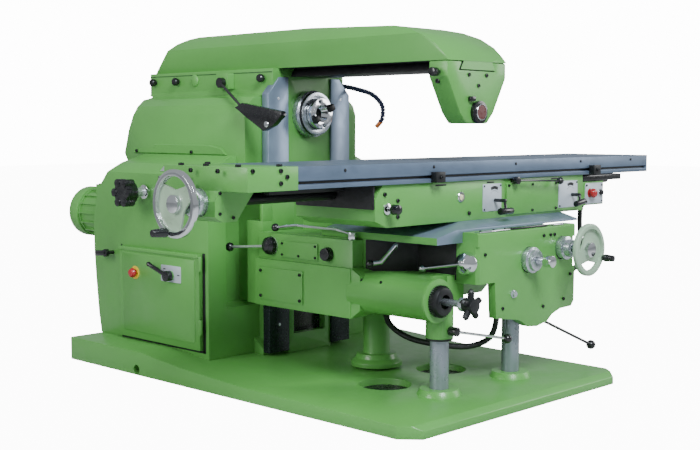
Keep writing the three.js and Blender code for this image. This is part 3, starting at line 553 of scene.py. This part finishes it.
# %% Plates with round corners
def round_outline(u0, u1, v0, v1, radius, steps=5):
    """The points of a rectangle with round corners, in order."""
    points = []
    for cu, cv, start in ((u1 - radius, v1 - radius, 0), (u0 + radius, v1 - radius, 90),
                          (u0 + radius, v0 + radius, 180), (u1 - radius, v0 + radius, 270)):
        for k in range(steps + 1):
            a = math.radians(start + 90 * k / steps)
            points.append((cu + radius * math.cos(a), cv + radius * math.sin(a)))
    return points


def panel_piece(name, axis, face, outline, thick, material, body, edge=0.0012):
    """A flat panel that stands on a face: axis is 0 for a face across X and 1 across Y."""
    work = bmesh.new()
    cu, cv = (sum(p[i] for p in outline) / len(outline) for i in (0, 1))
    shrink = [(cu + (u - cu) * (1 - edge / max(abs(u - cu), 1e-4)) if abs(u - cu) > edge else u,
               cv + (v - cv) * (1 - edge / max(abs(v - cv), 1e-4)) if abs(v - cv) > edge else v)
              for u, v in outline]
    layers = []
    for points, out in ((outline, 0.0), (outline, thick - edge), (shrink, thick)):
        layer = []
        for u, v in points:
            spot = (face - out, u, v) if axis == 0 else (u, face - out, v)
            layer.append(work.verts.new(spot))
        layers.append(layer)
    count = len(outline)
    for low, high in zip(layers, layers[1:]):
        for i in range(count):
            k = (i + 1) % count
            work.faces.new((low[i], low[k], high[k], high[i]))
    work.faces.new(layers[0])
    work.faces.new(layers[-1])
    return closed_piece(name, work, material, body)


# %% [markdown]
# Socket screws hold every cover. The head is a short cylinder with a broken edge and a
# hexagon sunk in its top. A slotted or blank head would be quicker to make, but the
# dark hexagon is what reads as a screw from across the room.


# %% Socket screws
HEAD_HEIGHT = 0.42


def socket_screws(name, places, axis, size, material, body):
    """Cap screws of head diameter size, with a six-sided socket."""
    r, h = size / 2, size * HEAD_HEIGHT
    work = bmesh.new()
    for place in places:
        move = Matrix.Translation(place) @ aim(axis)
        head = [(0, -h * 0.3), (r, -h * 0.3), (r, h * 0.8), (r * 0.86, h), (r * 0.56, h)]
        turned(work, head, place, axis, 18)
        rim = [v for v in work.verts if not v.link_faces or v.is_boundary][-18:]
        hexes = []
        for depth in (h, h * 0.35):
            ring = [work.verts.new(move @ Vector((r * 0.5 * math.cos(math.pi * k / 3),
                                                  r * 0.5 * math.sin(math.pi * k / 3), depth)))
                    for k in range(6)]
            hexes.append(ring)
        for k in range(6):
            n = (k + 1) % 6
            for j in range(3):
                work.faces.new((rim[(3 * k + j) % 18], rim[(3 * k + j + 1) % 18],
                                hexes[0][k if j < 2 else n]))
            work.faces.new((rim[(3 * k + 2) % 18], hexes[0][n], hexes[0][k]))
            work.faces.new((hexes[0][k], hexes[0][n], hexes[1][n], hexes[1][k]))
        work.faces.new(hexes[1])
    return closed_piece(name, work, material, body, smooth=30)


print("screw heads are", HEAD_HEIGHT, "of their diameter high")

# %% [markdown]
# ## Column
# The column side carries a thick cover over the gear case, the push buttons, and the
# electrical cabinet. Only the cover's lower strip stands proud, held by two cap screws;
# clamp nuts and an oil cap sit in the band below the overarm. The cover could be part of
# the column's own mesh, but a panel laid on it keeps the casting simple to soften.

# %% Column side
plate_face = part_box("column")[0].x - 0.0001
upper = -0.325
band = -0.205
cover = [(0.160, 0.9075), (0.800, 0.9075), (0.800, 0.926), (0.655, 0.930), (0.645, 0.948), (0.270, 0.948),
         (0.190, 0.936)]
panel_piece("gear_case_cover", 0, upper, cover, 0.010, paint, "frame", 0.003)
cover_screws = [(upper - 0.010, y, 0.917) for y in (0.774, 0.381)]
socket_screws("gear_case_screws", cover_screws, LEFT, 0.015, dark, "frame")
knob = [(0, 0), (0.011, 0), (0.011, 0.006), (0.017, 0.009), (0.018, 0.020), (0.014, 0.026), (0, 0.028)]
turned_piece("overarm_clamp_nuts", knob, [(band, y, 1.224) for y in (0.068, 0.638, 0.805)], LEFT, black,
             "frame", 24)
turned_piece("band_cap", [(0, 0), (0.026, 0), (0.026, 0.004), (0.022, 0.007), (0, 0.008)],
             [(band, SELECTOR_Y, 1.226)], LEFT, paint, "frame")
panel_piece("seat_seam", 0, band, round_outline(0.012, 0.838, 1.2480, 1.2510, 0.001, 2), 0.0008, dark,
            "frame", 0.0003)
print("column side at", round(plate_face, 3))

# %% [markdown]
# The speed lever ends in a black paddle with a bright stud, and the lobed selector
# turns on a bright shaft that leaves the column through a collar. Both are turned parts
# a few millimetres high, which is enough to catch the light.

# %% Mark on the speed lever
dot = [(0, 0), (0.0125, 0), (0.0120, 0.0010), (0.008, 0.0024), (0, 0.003)]
turned_piece("speed_lever_mark", dot, [(-0.3612, -0.124, 1.034)], LEFT, chrome, "speed_lever_body", 32)
turned_piece("selector_collar", [(0, 0), (0.030, 0), (0.030, 0.006), (0.026, 0.009), (0, 0.009)],
             [(plate_face + 0.0001, SELECTOR_Y, SELECTOR_Z)], LEFT, chrome, "frame", 40)
print("lever mark set")

# %% [markdown]
# A blank name plate lies on the slope of the casting, and a bright plate carries the
# start, jog and stop buttons. Each button stands in a ring, so that it can't be pressed
# by a sleeve. Plates could be painted on, but real sheet catches light on its edge.


# %% Rings
def ring_piece(name, inner, outer, depth, places, axis, material, body, steps=40):
    """Turned rings with a rounded face: the outline closes on itself, not on the axis."""
    work = bmesh.new()
    outline = [(inner, 0), (outer, 0), (outer, depth * 0.6), (outer - depth * 0.4, depth), (inner, depth),
               (inner, 0)]
    for place in places:
        turned(work, outline, place, axis, steps)
    bmesh.ops.remove_doubles(work, verts=work.verts, dist=1e-6)
    return closed_piece(name, work, material, body)


# %% [markdown]
# The name plate is worked flat and then tipped to the slope of the casting. The
# buttons are solids already, so only their plate, rings and screws are added.

# %% Name plate and button plate
slope = math.atan2(0.042, 0.038)
work = bmesh.new()
block(work, (-0.014, -0.085, 0), (0.014, 0.085, 0.0022), 0.0008)
move = Matrix.Translation((-0.4595, 0.338, 0.8475)) @ Matrix.Rotation(-slope, 4, "Y")
bmesh.ops.transform(work, matrix=move, verts=work.verts)
make_piece("blank_name_plate", work, plate_metal, "frame")
panel_piece("button_plate", 0, plate_face, round_outline(0.333, 0.417, 0.741, 0.819, 0.006), 0.0012,
            plate_metal, "frame", 0.0004)

ring_piece("button_rings", 0.0116, 0.0150, 0.004, [(plate_face - 0.001, 0.396, 0.796),
           (plate_face - 0.001, 0.356, 0.796)], LEFT, chrome, "frame")
ring_piece("stop_ring", 0.0156, 0.0190, 0.004, [(plate_face - 0.001, 0.376, 0.758)], LEFT, chrome, "frame")
socket_screws("button_plate_screws", [(plate_face - 0.001, y, z) for y in (0.338, 0.412)
              for z in (0.746, 0.814)], LEFT, 0.006, dark, "frame")
print("button plate at", round(plate_face, 4))

# %% [markdown]
# The cabinet door is a pressed steel tray on two lift-off hinges. Its main switch sits
# on a grey plate whose two marks show the on and off positions, and the stop button
# stands in a yellow ring, as safety rules ask. The gap round the door is laid on as
# dark strips: a cut would split the column's side for the same thin line.

# %% Cabinet door
door_face = -0.496
work = bmesh.new()
for z in (0.180, 0.440):
    turned(work, [(0, 0), (0.007, 0), (0.008, 0.002), (0.008, 0.058), (0.007, 0.060), (0, 0.060)],
           (-0.499, 0.1268, z), UP, 20)
closed_piece("door_hinges", work, paint, "frame")
panel_piece("door_field", 0, door_face, round_outline(0.165, 0.668, 0.140, 0.486, 0.012), 0.0030, paint,
            "door", 0.002)
switch_face = door_face - 0.004
panel_piece("switch_label", 0, switch_face, round_outline(0.2515, 0.3865, 0.3795, 0.4485, 0.005), 0.0010,
            grey_paint, "door", 0.0003)
work = bmesh.new()
for y, z in ((0.362, 0.432), (0.362, 0.392), (0.268, 0.412)):
    block(work, (switch_face - 0.0016, y - 0.008, z - 0.0022),
          (switch_face - 0.0008, y + 0.008, z + 0.0022), 0.0002)
make_piece("switch_marks", work, dark, "door")
ring_piece("stop_warning_ring", 0.0126, 0.0285, 0.0016, [(door_face - 0.003, 0.572, 0.398)], LEFT, yellow,
           "door", 48)
work = bmesh.new()
block(work, (-0.4790, 0.126, 0.100), (-0.4778, 0.704, 0.1105), 0.0003)
block(work, (-0.4790, 0.6935, 0.100), (-0.4778, 0.7040, 0.512), 0.0003)
block(work, (-0.4790, 0.1200, 0.100), (-0.4778, 0.1370, 0.512), 0.0003)
make_piece("door_shadow_gap", work, dark, "frame")
print("door face at", door_face)

# %% [markdown]
# ## Motor
# A fan-cooled motor hangs on the rear of the column. Ribs carry its heat away, and
# the cowl at its end is pierced so that the fan can breathe. The slots could be cut
# through, but forty dark bars set in the cowl, painted shade for the slots' depth, look
# the same and leave its mesh clean.

# %% Motor details
motor_x, motor_z = -0.285, 0.622
cowl_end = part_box("fan_cover")[1].y
work = bmesh.new()
for i in range(20):
    a = math.radians(i * 18)
    for r0, r1 in ((0.030, 0.046), (0.052, 0.074)):
        mid = Vector((motor_x + math.cos(a) * (r0 + r1) / 2, cowl_end - 0.0015,
                      motor_z + math.sin(a) * (r0 + r1) / 2))
        size = Matrix.Diagonal((r1 - r0, 0.004, 0.0045, 1))
        small_block(work, Matrix.Translation(mid) @ Matrix.Rotation(-a, 4, "Y") @ size)
make_piece("fan_slots", work, dark, "frame")
socket_screws("terminal_box_screws", [(motor_x + dx, y, 0.756) for dx in (-0.048, 0.048)
              for y in (0.975, 1.075)], UP, 0.010, dark, "frame")
ring_piece("motor_end_bell", 0.1072, 0.1120, 0.012, [(motor_x, 1.150, motor_z)], (0, 1, 0), paint, "frame",
           64)
print("fan cowl ends at", round(cowl_end, 3))

# %% [markdown]
# ## Spindle and ways
# The recess between the ways is in deep shade on the real machine, because it opens
# into the hollow column. A black plate set at its back gives the same depth. The nose
# gets its bolt circle, and the taper mouth gets a dark disc, painted shade for its throat.

# %% Column front
SPINDLE_HEIGHT, COVER_CIRCLE = 1.078, 0.082
block_piece("column_recess", [((-0.0915, 0.0400, 0.1505), (0.0915, 0.0458, 0.3795))], black, "frame",
            0.0008)
work = bmesh.new()
for s in (-1, 1):
    for z in (0.20, 0.52, 0.84, 1.14):
        turned(work, [(0, -0.002), (0.006, -0.002), (0.006, 0.0004), (0, 0.0006)], (s * 0.181, 0.0, z),
               FRONT, 16)
closed_piece("way_plugs", work, turned_steel, "frame")
socket_screws("bearing_cover_screws", [(COVER_CIRCLE * math.cos(a), -0.026,
              SPINDLE_HEIGHT + COVER_CIRCLE * math.sin(a))
              for a in (math.radians(30 + 60 * k) for k in range(6))], FRONT, 0.013, dark, "frame")
turned_piece("taper_throat", [(0, 0), (0.0335, 0), (0.0335, 0.0012), (0, 0.0012)],
             [(0, -0.0395, SPINDLE_HEIGHT)], FRONT, dark, "spindle")

# %% [markdown]
# The coolant hose is a row of ball-and-socket links in dark blue, which stays where it
# is bent. Each link is a short turned bead, set along a smooth line from the column
# to the nozzle.


# %% Coolant hose
def smooth_path(points, per_span):
    """A smooth line through the points, which are the given bends of the hose."""
    pts = [Vector(p) for p in points]
    pts = [2 * pts[0] - pts[1]] + pts + [2 * pts[-1] - pts[-2]]
    line = []
    for a, b, c, d in zip(pts, pts[1:], pts[2:], pts[3:]):
        for i in range(per_span):
            t = i / per_span
            line.append(0.5 * ((2 * b) + (c - a) * t + (2 * a - 5 * b + 4 * c - d) * t * t
                               + (3 * b - a - 3 * c + d) * t * t * t))
    return line + [pts[-2]]


route = [(0.221, 0.062, 1.202), (0.242, 0.034, 1.200), (0.256, -0.034, 1.186), (0.266, -0.112, 1.162),
         (0.270, -0.164, 1.116), (0.268, -0.169, 1.066), (0.262, -0.163, 1.046)]
LINK_PITCH = 0.0125
line = smooth_path(route, 40)
walked, spots = 0.0, []
for a, b in zip(line, line[1:]):
    walked += (b - a).length
    if walked > LINK_PITCH * (len(spots) + 0.5):
        spots.append((a.copy(), (b - a).normalized()))
work = bmesh.new()
bead = [(0, -0.0066), (0.0082, -0.0066), (0.0108, -0.003), (0.0110, 0.001), (0.0090, 0.0048),
        (0.0070, 0.0066), (0, 0.0066)]
for spot, along in spots:
    turned(work, bead, spot, along, 18)
closed_piece("coolant_hose_links", work, blue_hose, "frame", replaced=("coolant_hose",))
bpy.data.objects.remove(finished["coolant_hose"])
turned_piece("hose_union", [(0, 0), (0.019, 0), (0.019, 0.010), (0.013, 0.014), (0, 0.014)],
             [(0.2053, 0.062, 1.202)], (1, 0, 0), turned_steel, "frame", 6)
print("hose links", len(spots))

# %% [markdown]
# ## Overarm and arbor support
# The support carries the far end of the arbor in a bushed bearing. A black ring with a
# bright edge closes the bearing, a small lug pinches it, and a knob at the side locks
# the support on its dovetail. The slide below the overarm is bare oiled steel in the
# overarm's shade, so its faces take a dark finish that is partly painted shade: they
# are picked by height, which needs no second mesh.

# %% Arbor support
cap_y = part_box("support_cap")[0].y
ring_piece("cap_bright_edge", 0.0270, 0.0300, 0.0022, [(0, cap_y - 0.0001, SPINDLE_HEIGHT)], FRONT, chrome,
           "support", 56)
turned_piece("cap_disc", [(0, 0), (0.0268, 0), (0.0262, 0.0010), (0, 0.0014)],
             [(0, cap_y - 0.0001, SPINDLE_HEIGHT)], FRONT,
             finish_recipe("cap_disc_red", (0.085, 0.016, 0.016), 0.30, swell=20, bump=0.02), "support",
             56)
block_piece("cap_pinch_lug", [((-0.058, -0.905, 1.118), (-0.026, -0.8904, 1.136))], black, "support", 0.003)
socket_screws("support_screws", [(0.004, -0.890, 1.176), (-0.052, -0.890, 1.215), (0.052, -0.890, 1.215)],
              FRONT, 0.014, dark, "support")
socket_screws("support_pinch_bolt", [(-0.1655, -0.838, 1.190)], LEFT, 0.018, dark, "support")
panel_piece("slide_end_cover", 1, -0.8925, [(-0.086, 1.2635), (-0.103, 1.2335), (0.103, 1.2335),
            (0.086, 1.2635)], 0.0004, paint, "overarm_body", 0.0001)
# Faces below the overarm's skirt take the dark finish: oiled steel, and partly painted shade under the
# overarm.
for poly in finished["overarm"].data.polygons:
    if poly.center.z < 1.2646:
        poly.material_index = 1
finished["overarm"].data.materials.append(dark)
print("support front at", round(cap_y, 3))

# %% [markdown]
# ## Table
# The table is ground all over. Bolts pin its end bracket, black dogs slide in the
# front groove to stop the feed, and a rod with a ball lets the operator trip it by hand.
# A dark strip at the back of the groove gives it shade that a shallow cut would lack.

# %% Table details
top_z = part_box("table")[1].z
front_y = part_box("table")[0].y
bracket_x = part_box("end_bracket")[0].x
socket_screws("bracket_top_bolts", [(x, y, top_z + 0.001)
              for x, y in ((-1.05, -0.60), (-1.05, -0.76), (-0.93, -0.82), (-0.93, -0.46),
                           (-1.05, -0.47))], UP, 0.020, dark, "table_body")
socket_screws("bracket_front_bolts", [(-0.952, front_y, 0.886), (-0.952, front_y, 0.846),
              (-0.925, front_y, 0.866)], FRONT, 0.015, dark, "table_body")
socket_screws("bracket_boss_screws", [(x, -0.7160, z) for x, z in ((-1.09, 0.815), (-1.09, 0.75),
              (-1.035, 0.735))], FRONT, 0.011, dark, "table_body")
socket_screws("bracket_end_screws", [(bracket_x, y, z) for y, z in ((-0.598, 0.886), (-0.733, 0.886),
              (-0.571, 0.862), (-0.598, 0.842))], LEFT, 0.015, dark, "table_body")
socket_screws("bracket_corner_screw", [(-1.070, front_y, 0.888)], FRONT, 0.015, dark, "table_body")
oilers = [(x, front_y, 0.880) for x in (-0.66, -0.20, 0.30, 0.76, 1.16)]
turned_piece("table_oilers", [(0, 0), (0.006, 0), (0.006, 0.0015), (0.003, 0.003), (0, 0.003)], oilers,
             FRONT, dark, "table_body", 16)
socket_screws("dog_screws", [(-0.190, -0.876, 0.843), (0.850, -0.876, 0.843)], FRONT, 0.015, dark,
              "table_body")
block_piece("groove_shadow", [((-0.872, -0.8381, 0.8385), (1.291, -0.8379, 0.8495))], dark, "table_body",
            0.0)
print("table top at", round(top_z, 3))

# %% [markdown]
# ## Bed under the table
# Along the bed's front sit the oil sight glass, two grey dial plates with a curved
# slot each, the cover of the feed gears and the grey push-button box. The slots are
# less than a millimetre deep, so each is a thin dark panel whose arc is a formula.

# %% Bed details
bed_y = -0.838
cover_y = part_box("bed_cover")[0].y


def curved_slot(name, x, z, width, face, body):
    """A dark curved slot cut in a dial plate."""
    outline = []
    for r, order in ((0.052, range(9)), (0.040, range(8, -1, -1))):
        for k in order:
            a = math.radians(90 + (k - 4) * width / 4)
            outline.append((x + r * math.cos(a), z + r * math.sin(a)))
    return panel_piece(name, 1, face, outline, 0.0008, dark, body, 0.0002)


panel_piece("dial_plate_left", 1, bed_y, round_outline(0.104, 0.222, 0.700, 0.806, 0.006), 0.0020,
            grey_paint, "saddle_body", 0.0006)
panel_piece("dial_plate_right", 1, cover_y, round_outline(0.604, 0.744, 0.690, 0.801, 0.006), 0.0016,
            grey_paint, "saddle_body", 0.0006)
dials = ((0.176, 0.745, bed_y - 0.0019), (0.690, 0.742, cover_y - 0.0015))
for side, (x0, z0, face) in zip(("left", "right"), dials):
    curved_slot("dial_slot_" + side, x0, z0, 28, face, "saddle_body")
work = bmesh.new()
for x0, z0, face in dials:
    for k in range(-3, 4):
        a = math.radians(90 + k * 13)
        spot = Vector((x0 + 0.034 * math.cos(a), face - 0.0004, z0 + 0.034 * math.sin(a)))
        turned(work, [(0, 0), (0.0013, 0), (0.0013, 0.0005), (0, 0.0006)], spot, FRONT, 10)
closed_piece("dial_dots", work, dark, "saddle_body", smooth=30)
socket_screws("dial_plate_screws", [(x, bed_y - 0.002, z) for x in (0.112, 0.214)
              for z in (0.708, 0.798)] + [(x, cover_y - 0.0016, z) for x in (0.612, 0.736)
              for z in (0.698, 0.793)], FRONT, 0.007, dark, "saddle_body")
socket_screws("bed_cover_screws", [(x, cover_y, z) for x in (0.262, 0.420, 0.585) for z in (0.692, 0.795)],
              FRONT, 0.011, dark, "saddle_body")
socket_screws("bed_screws", [(-0.384, bed_y, 0.765), (-0.384, bed_y, 0.708), (-0.452, bed_y, 0.790),
                             (0.020, bed_y, 0.700)], FRONT, 0.015, dark, "saddle_body")
ring_piece("sight_glass_rim", 0.0120, 0.0200, 0.006, [(-0.030, bed_y, 0.763)], FRONT, chrome,
           "saddle_body", 40)
turned_piece("sight_glass_lens", [(0, 0), (0.0122, 0), (0.0115, 0.003), (0.006, 0.0045), (0, 0.005)],
             [(-0.030, bed_y, 0.763)], FRONT, glass, "saddle_body", 32)
block_piece("bed_top_marks", [((-0.175, bed_y - 0.0012, 0.8085), (-0.115, bed_y + 0.001, 0.8145)),
                              ((0.130, bed_y - 0.0012, 0.8085), (0.176, bed_y + 0.001, 0.8145)),
                              ((0.560, bed_y - 0.0012, 0.8090), (0.606, bed_y + 0.001, 0.8150))], dark,
            "saddle_body", 0.0008)
turned_piece("bed_clamp_collar", [(0, 0), (0.020, 0), (0.020, 0.006), (0.012, 0.010), (0, 0.010)],
             [(-0.44, bed_y, 0.738)], FRONT, chrome, "bed_clamp_body", 24)
bed_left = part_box("bed")[0].x
block_piece("bed_end_wiper", [((bed_left - 0.006, -0.836, 0.738), (bed_left, -0.444, 0.8222))], rubber,
            "saddle_body", 0.002)
print("bed face at", bed_y)

# %% [markdown]
# The conduit of the push-button box is a tough rubber-covered tube. Its top moves with
# the saddle and its lower end with the knee, so it bends between the two. A chain of
# joints would do it with many parts; here the solid's mesh is copied and baked in
# place, tied to no body.

# %% Conduit
conduit = bpy.data.objects.new("conduit_cover", finished["conduit"].data.copy())
bpy.context.scene.collection.objects.link(conduit)
bpy.data.objects.remove(finished["conduit"])
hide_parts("conduit")
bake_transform(conduit)
print("conduit vertices", len(conduit.data.vertices))

# %% [markdown]
# The push-button box hangs at the right end of the bed, where the operator's hand
# reaches it from the knee. Above it a bar keeps the table's end clear of the box. Its
# plate, rings and screws are made like those of the column's button plate.

# %% Push-button box and travel bar
panel_piece("button_box_plate", 1, bed_y, round_outline(0.8135, 0.9545, 0.6955, 0.7845, 0.010), 0.0014,
            grey_paint, "saddle_body", 0.0006)
socket_screws("button_box_screws", [(x, bed_y - 0.0014, z) for x in (0.823, 0.945)
              for z in (0.705, 0.775)], FRONT, 0.009, dark, "saddle_body")
ring_piece("box_stop_ring", 0.0118, 0.0190, 0.003, [(0.850, bed_y - 0.0012, 0.742)], FRONT, red,
           "saddle_body", 40)
ring_piece("box_button_ring", 0.0120, 0.0155, 0.004, [(0.930, bed_y - 0.0012, 0.742)], FRONT, chrome,
           "saddle_body", 32)
block_piece("table_skid_bar", [((0.800, -0.8358, 0.7935), (1.105, -0.800, 0.8185))], black, "saddle_body",
            0.003)
turned_piece("conduit_gland", [(0, 0), (0.018, 0), (0.018, 0.014), (0.0135, 0.018), (0.0135, 0.030),
                               (0, 0.030)], [(0.930, -0.740, 0.690)], (0, 0, -1), black, "saddle_body", 24)
print("button box at", bed_y)

# %% [markdown]
# ## Knee
# The knee is the busiest casting. Covers and screws close the feed gearbox, a chrome
# strip and a felt wiper finish the top of its front face, and black guards keep chips
# out of the clamp's corner. The guards are rubber, and they also stand as painted shade
# on the knee's side below the saddle. Strips, wiper and guards are plain blocks with
# broken edges, as the real ones are cut from bar and sheet.

# %% Knee details
CRANK_X, CRANK_Z, BARREL_RADIUS, BARREL_LEAN = -0.262, 0.404, 0.0755, 0.75
FEED_DIAL_X, FEED_DIAL_Z = 0.202, 0.520
knee_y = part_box("knee")[0].y
socket_screws("upper_cover_screws", [(-0.314, y, z) for y, z in ((-0.162, 0.518), (-0.162, 0.562),
              (-0.256, 0.518), (-0.350, 0.518), (-0.350, 0.562))], LEFT, 0.010, dark, "knee_body")
socket_screws("lower_cover_screws", [(-0.336, y, z) for y in (-0.058, -0.286) for z in (0.346, 0.448)],
              LEFT, 0.013, dark, "knee_body")
socket_screws("barrel_screws", [(CRANK_X - BARREL_RADIUS * math.cos(a), y,
                                 CRANK_Z + BARREL_RADIUS * math.sin(a))
                                for y, a in ((-0.60, BARREL_LEAN), (-0.70, BARREL_LEAN))],
              (-math.cos(BARREL_LEAN), 0, math.sin(BARREL_LEAN)), 0.011, dark, "knee_body")
socket_screws("knee_front_screws", [(x, knee_y, z) for x, z in ((0.300, 0.606), (0.345, 0.606),
              (0.372, 0.606), (0.300, 0.330), (0.440, 0.345), (-0.070, 0.560), (0.040, 0.350),
              (0.485, 0.440))], FRONT, 0.013, dark, "knee_body")
turned_piece("oil_plug", [(0, 0), (0.017, 0), (0.017, 0.004), (0.012, 0.006), (0.012, 0.013), (0, 0.013)],
             [(0.105, knee_y, 0.398)], FRONT, turned_steel, "knee_body", 6)
block_piece("front_chrome_strip", [((-0.098, -0.984, 0.6402), (0.086, -0.958, 0.6452))], chrome,
            "knee_body", 0.0015)
socket_screws("strip_bolts", [(x, -0.971, 0.6450) for x in (-0.08, 0.0, 0.07)], UP, 0.009, dark,
              "knee_body")
block_piece("felt_wiper", [((0.096, -0.984, 0.6402), (0.330, -0.958, 0.6466))], black, "knee_body", 0.002)
block_piece("right_chrome_strip", [((0.350, -0.984, 0.6402), (0.440, -0.958, 0.6445))], chrome,
            "knee_body", 0.0012)
ring_piece("dial_backing", 0.0225, 0.0560, 0.005, [(FEED_DIAL_X, knee_y + 0.0045, FEED_DIAL_Z)], FRONT,
           paint, "knee_body", 56)
# The side and corner guards are black rubber, and also painted shade below the saddle.
block_piece("knee_side_guard_and_shade", [((-0.1124, -0.885, 0.462), (-0.1098, -0.696, 0.5985))], rubber,
            "knee_body", 0.0008)
work = bmesh.new()
block(work, (-0.100, -0.0012, 0.462), (0.100, 0.0012, 0.5985), 0.0008)
turn = Matrix.Translation((-0.181, -0.631, 0)) @ Matrix.Rotation(math.radians(-45), 4, "Z")
bmesh.ops.transform(work, matrix=turn, verts=work.verts)
make_piece("knee_corner_guard_and_shade", work, rubber, "knee_body")
block_piece("way_wiper_holder", [((-0.290, -0.0200, 0.6398), (-0.2376, -0.0012, 0.724)),
                                 ((-0.2372, -0.0200, 0.6004), (-0.112, -0.0012, 0.722))], paint,
            "knee_body", 0.003)
print("knee front at", round(knee_y, 3))


# %% [markdown]
# Every feed collar is divided by fine lines, so that a machinist can count the feed.
# They are cut in the real collar; here each line is a thin dark strip laid on it, since
# a cut this fine would cost many faces and look the same. One collar is ribbed for grip.


# %% Divided collars
def dial_ticks(name, centre, axis, radius, along, count, body, material=dark):
    """Fine engraved lines round a collar, longer at every fifth."""
    work = bmesh.new()
    turn = aim(axis)
    for k in range(count):
        a = 2 * math.pi * k / count
        length = along * (1.0 if k % 5 == 0 else 0.55)
        line_size = Matrix.Diagonal((0.0006, 0.0007, length, 1))
        spot = Matrix.Rotation(a, 4, "Z") @ Matrix.Translation((radius, 0, length / 2))
        small_block(work, Matrix.Translation(centre) @ turn @ spot @ line_size)
    return make_piece(name, work, material, body)


dial_ticks("cross_dial_ticks", (FEED_DIAL_X, -0.9855, FEED_DIAL_Z), FRONT, 0.0500, 0.014, 60,
           "cross_dial_body")
dial_ticks("wheel_bush_ticks", (CROSS_WHEEL_X, -0.9860, CROSS_WHEEL_Z), FRONT, 0.0460, 0.016, 60,
           "knee_body")
dial_ticks("table_dial_ticks", (-1.1110, TABLE_WHEEL_Y, TABLE_WHEEL_Z), LEFT, 0.0460, 0.018, 60,
           "table_dial_body")
dial_ticks("vertical_dial_ticks", (CRANK_X, -0.9275, CRANK_Z), FRONT, 0.0580, 0.010, 40,
           "vertical_dial_body", plate_metal)
work = bmesh.new()
RIBS, RIB_RADIUS = 36, 0.0572
for k in range(RIBS):
    a = 2 * math.pi * k / RIBS
    rib = (CRANK_X + RIB_RADIUS * math.cos(a), -0.938, CRANK_Z + RIB_RADIUS * math.sin(a))
    size = Matrix.Diagonal((0.0022, 0.016, 0.004, 1))
    small_block(work, Matrix.Translation(rib) @ Matrix.Rotation(-a, 4, "Y") @ size)
make_piece("vertical_dial_knurl", work, dark, "vertical_dial_body")
print("collars marked")

# %% [markdown]
# ## Base
# Coolant runs down the deck into two strainers. Rubber rings wipe the guide posts where
# they enter the knee, and a turned collar holds the foot of each post. The holes are
# dark discs with a rim, painted shade for the depth of each hole: drilled through, they
# would cost thousands of faces.

# %% Base details
drains = ((-0.215, -0.628), (0.150, -0.600))
work = bmesh.new()
for x, y in drains:
    turned(work, [(0, 0), (0.098, 0), (0.098, 0.004), (0.090, 0.006), (0, 0.006)], (x, y, 0.0225), UP, 48)
closed_piece("strainer_plates", work, dark, "frame")
work = bmesh.new()
hole = [(0, 0), (0.0055, 0), (0.0045, 0.0006), (0, 0.0003)]
for x, y in drains:
    for ring in (1, 2, 3, 4):
        r = 0.018 * ring
        for k in range(6 * ring):
            a = 2 * math.pi * k / (6 * ring)
            turned(work, hole, (x + r * math.cos(a), y + r * math.sin(a), 0.0284), UP, 10)
closed_piece("strainer_holes", work, black, "frame")
posts = [(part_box(n)[0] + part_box(n)[1]) / 2 for n in ("post_left", "post_right")]
wiper_z = [0.2565, 0.2885]
for post, z, name in zip(posts, wiper_z, ("left", "right")):
    ring_piece("post_wiper_" + name, 0.0354, 0.0500, 0.007, [(post.x, post.y, z)], (0, 0, -1), rubber,
               "knee_body", 48)
collar = [(0.0358, 0.020), (0.0900, 0.020), (0.0885, 0.034), (0.0745, 0.066), (0.0710, 0.0700),
          (0.0358, 0.0705), (0.0358, 0.020)]
work = bmesh.new()
for post in posts:
    turned(work, collar, (post.x, post.y, 0), UP, 64)
bmesh.ops.remove_doubles(work, verts=work.verts, dist=1e-6)
closed_piece("post_collars", work, paint, "frame")
print("posts at", [round(p.x, 3) for p in posts])
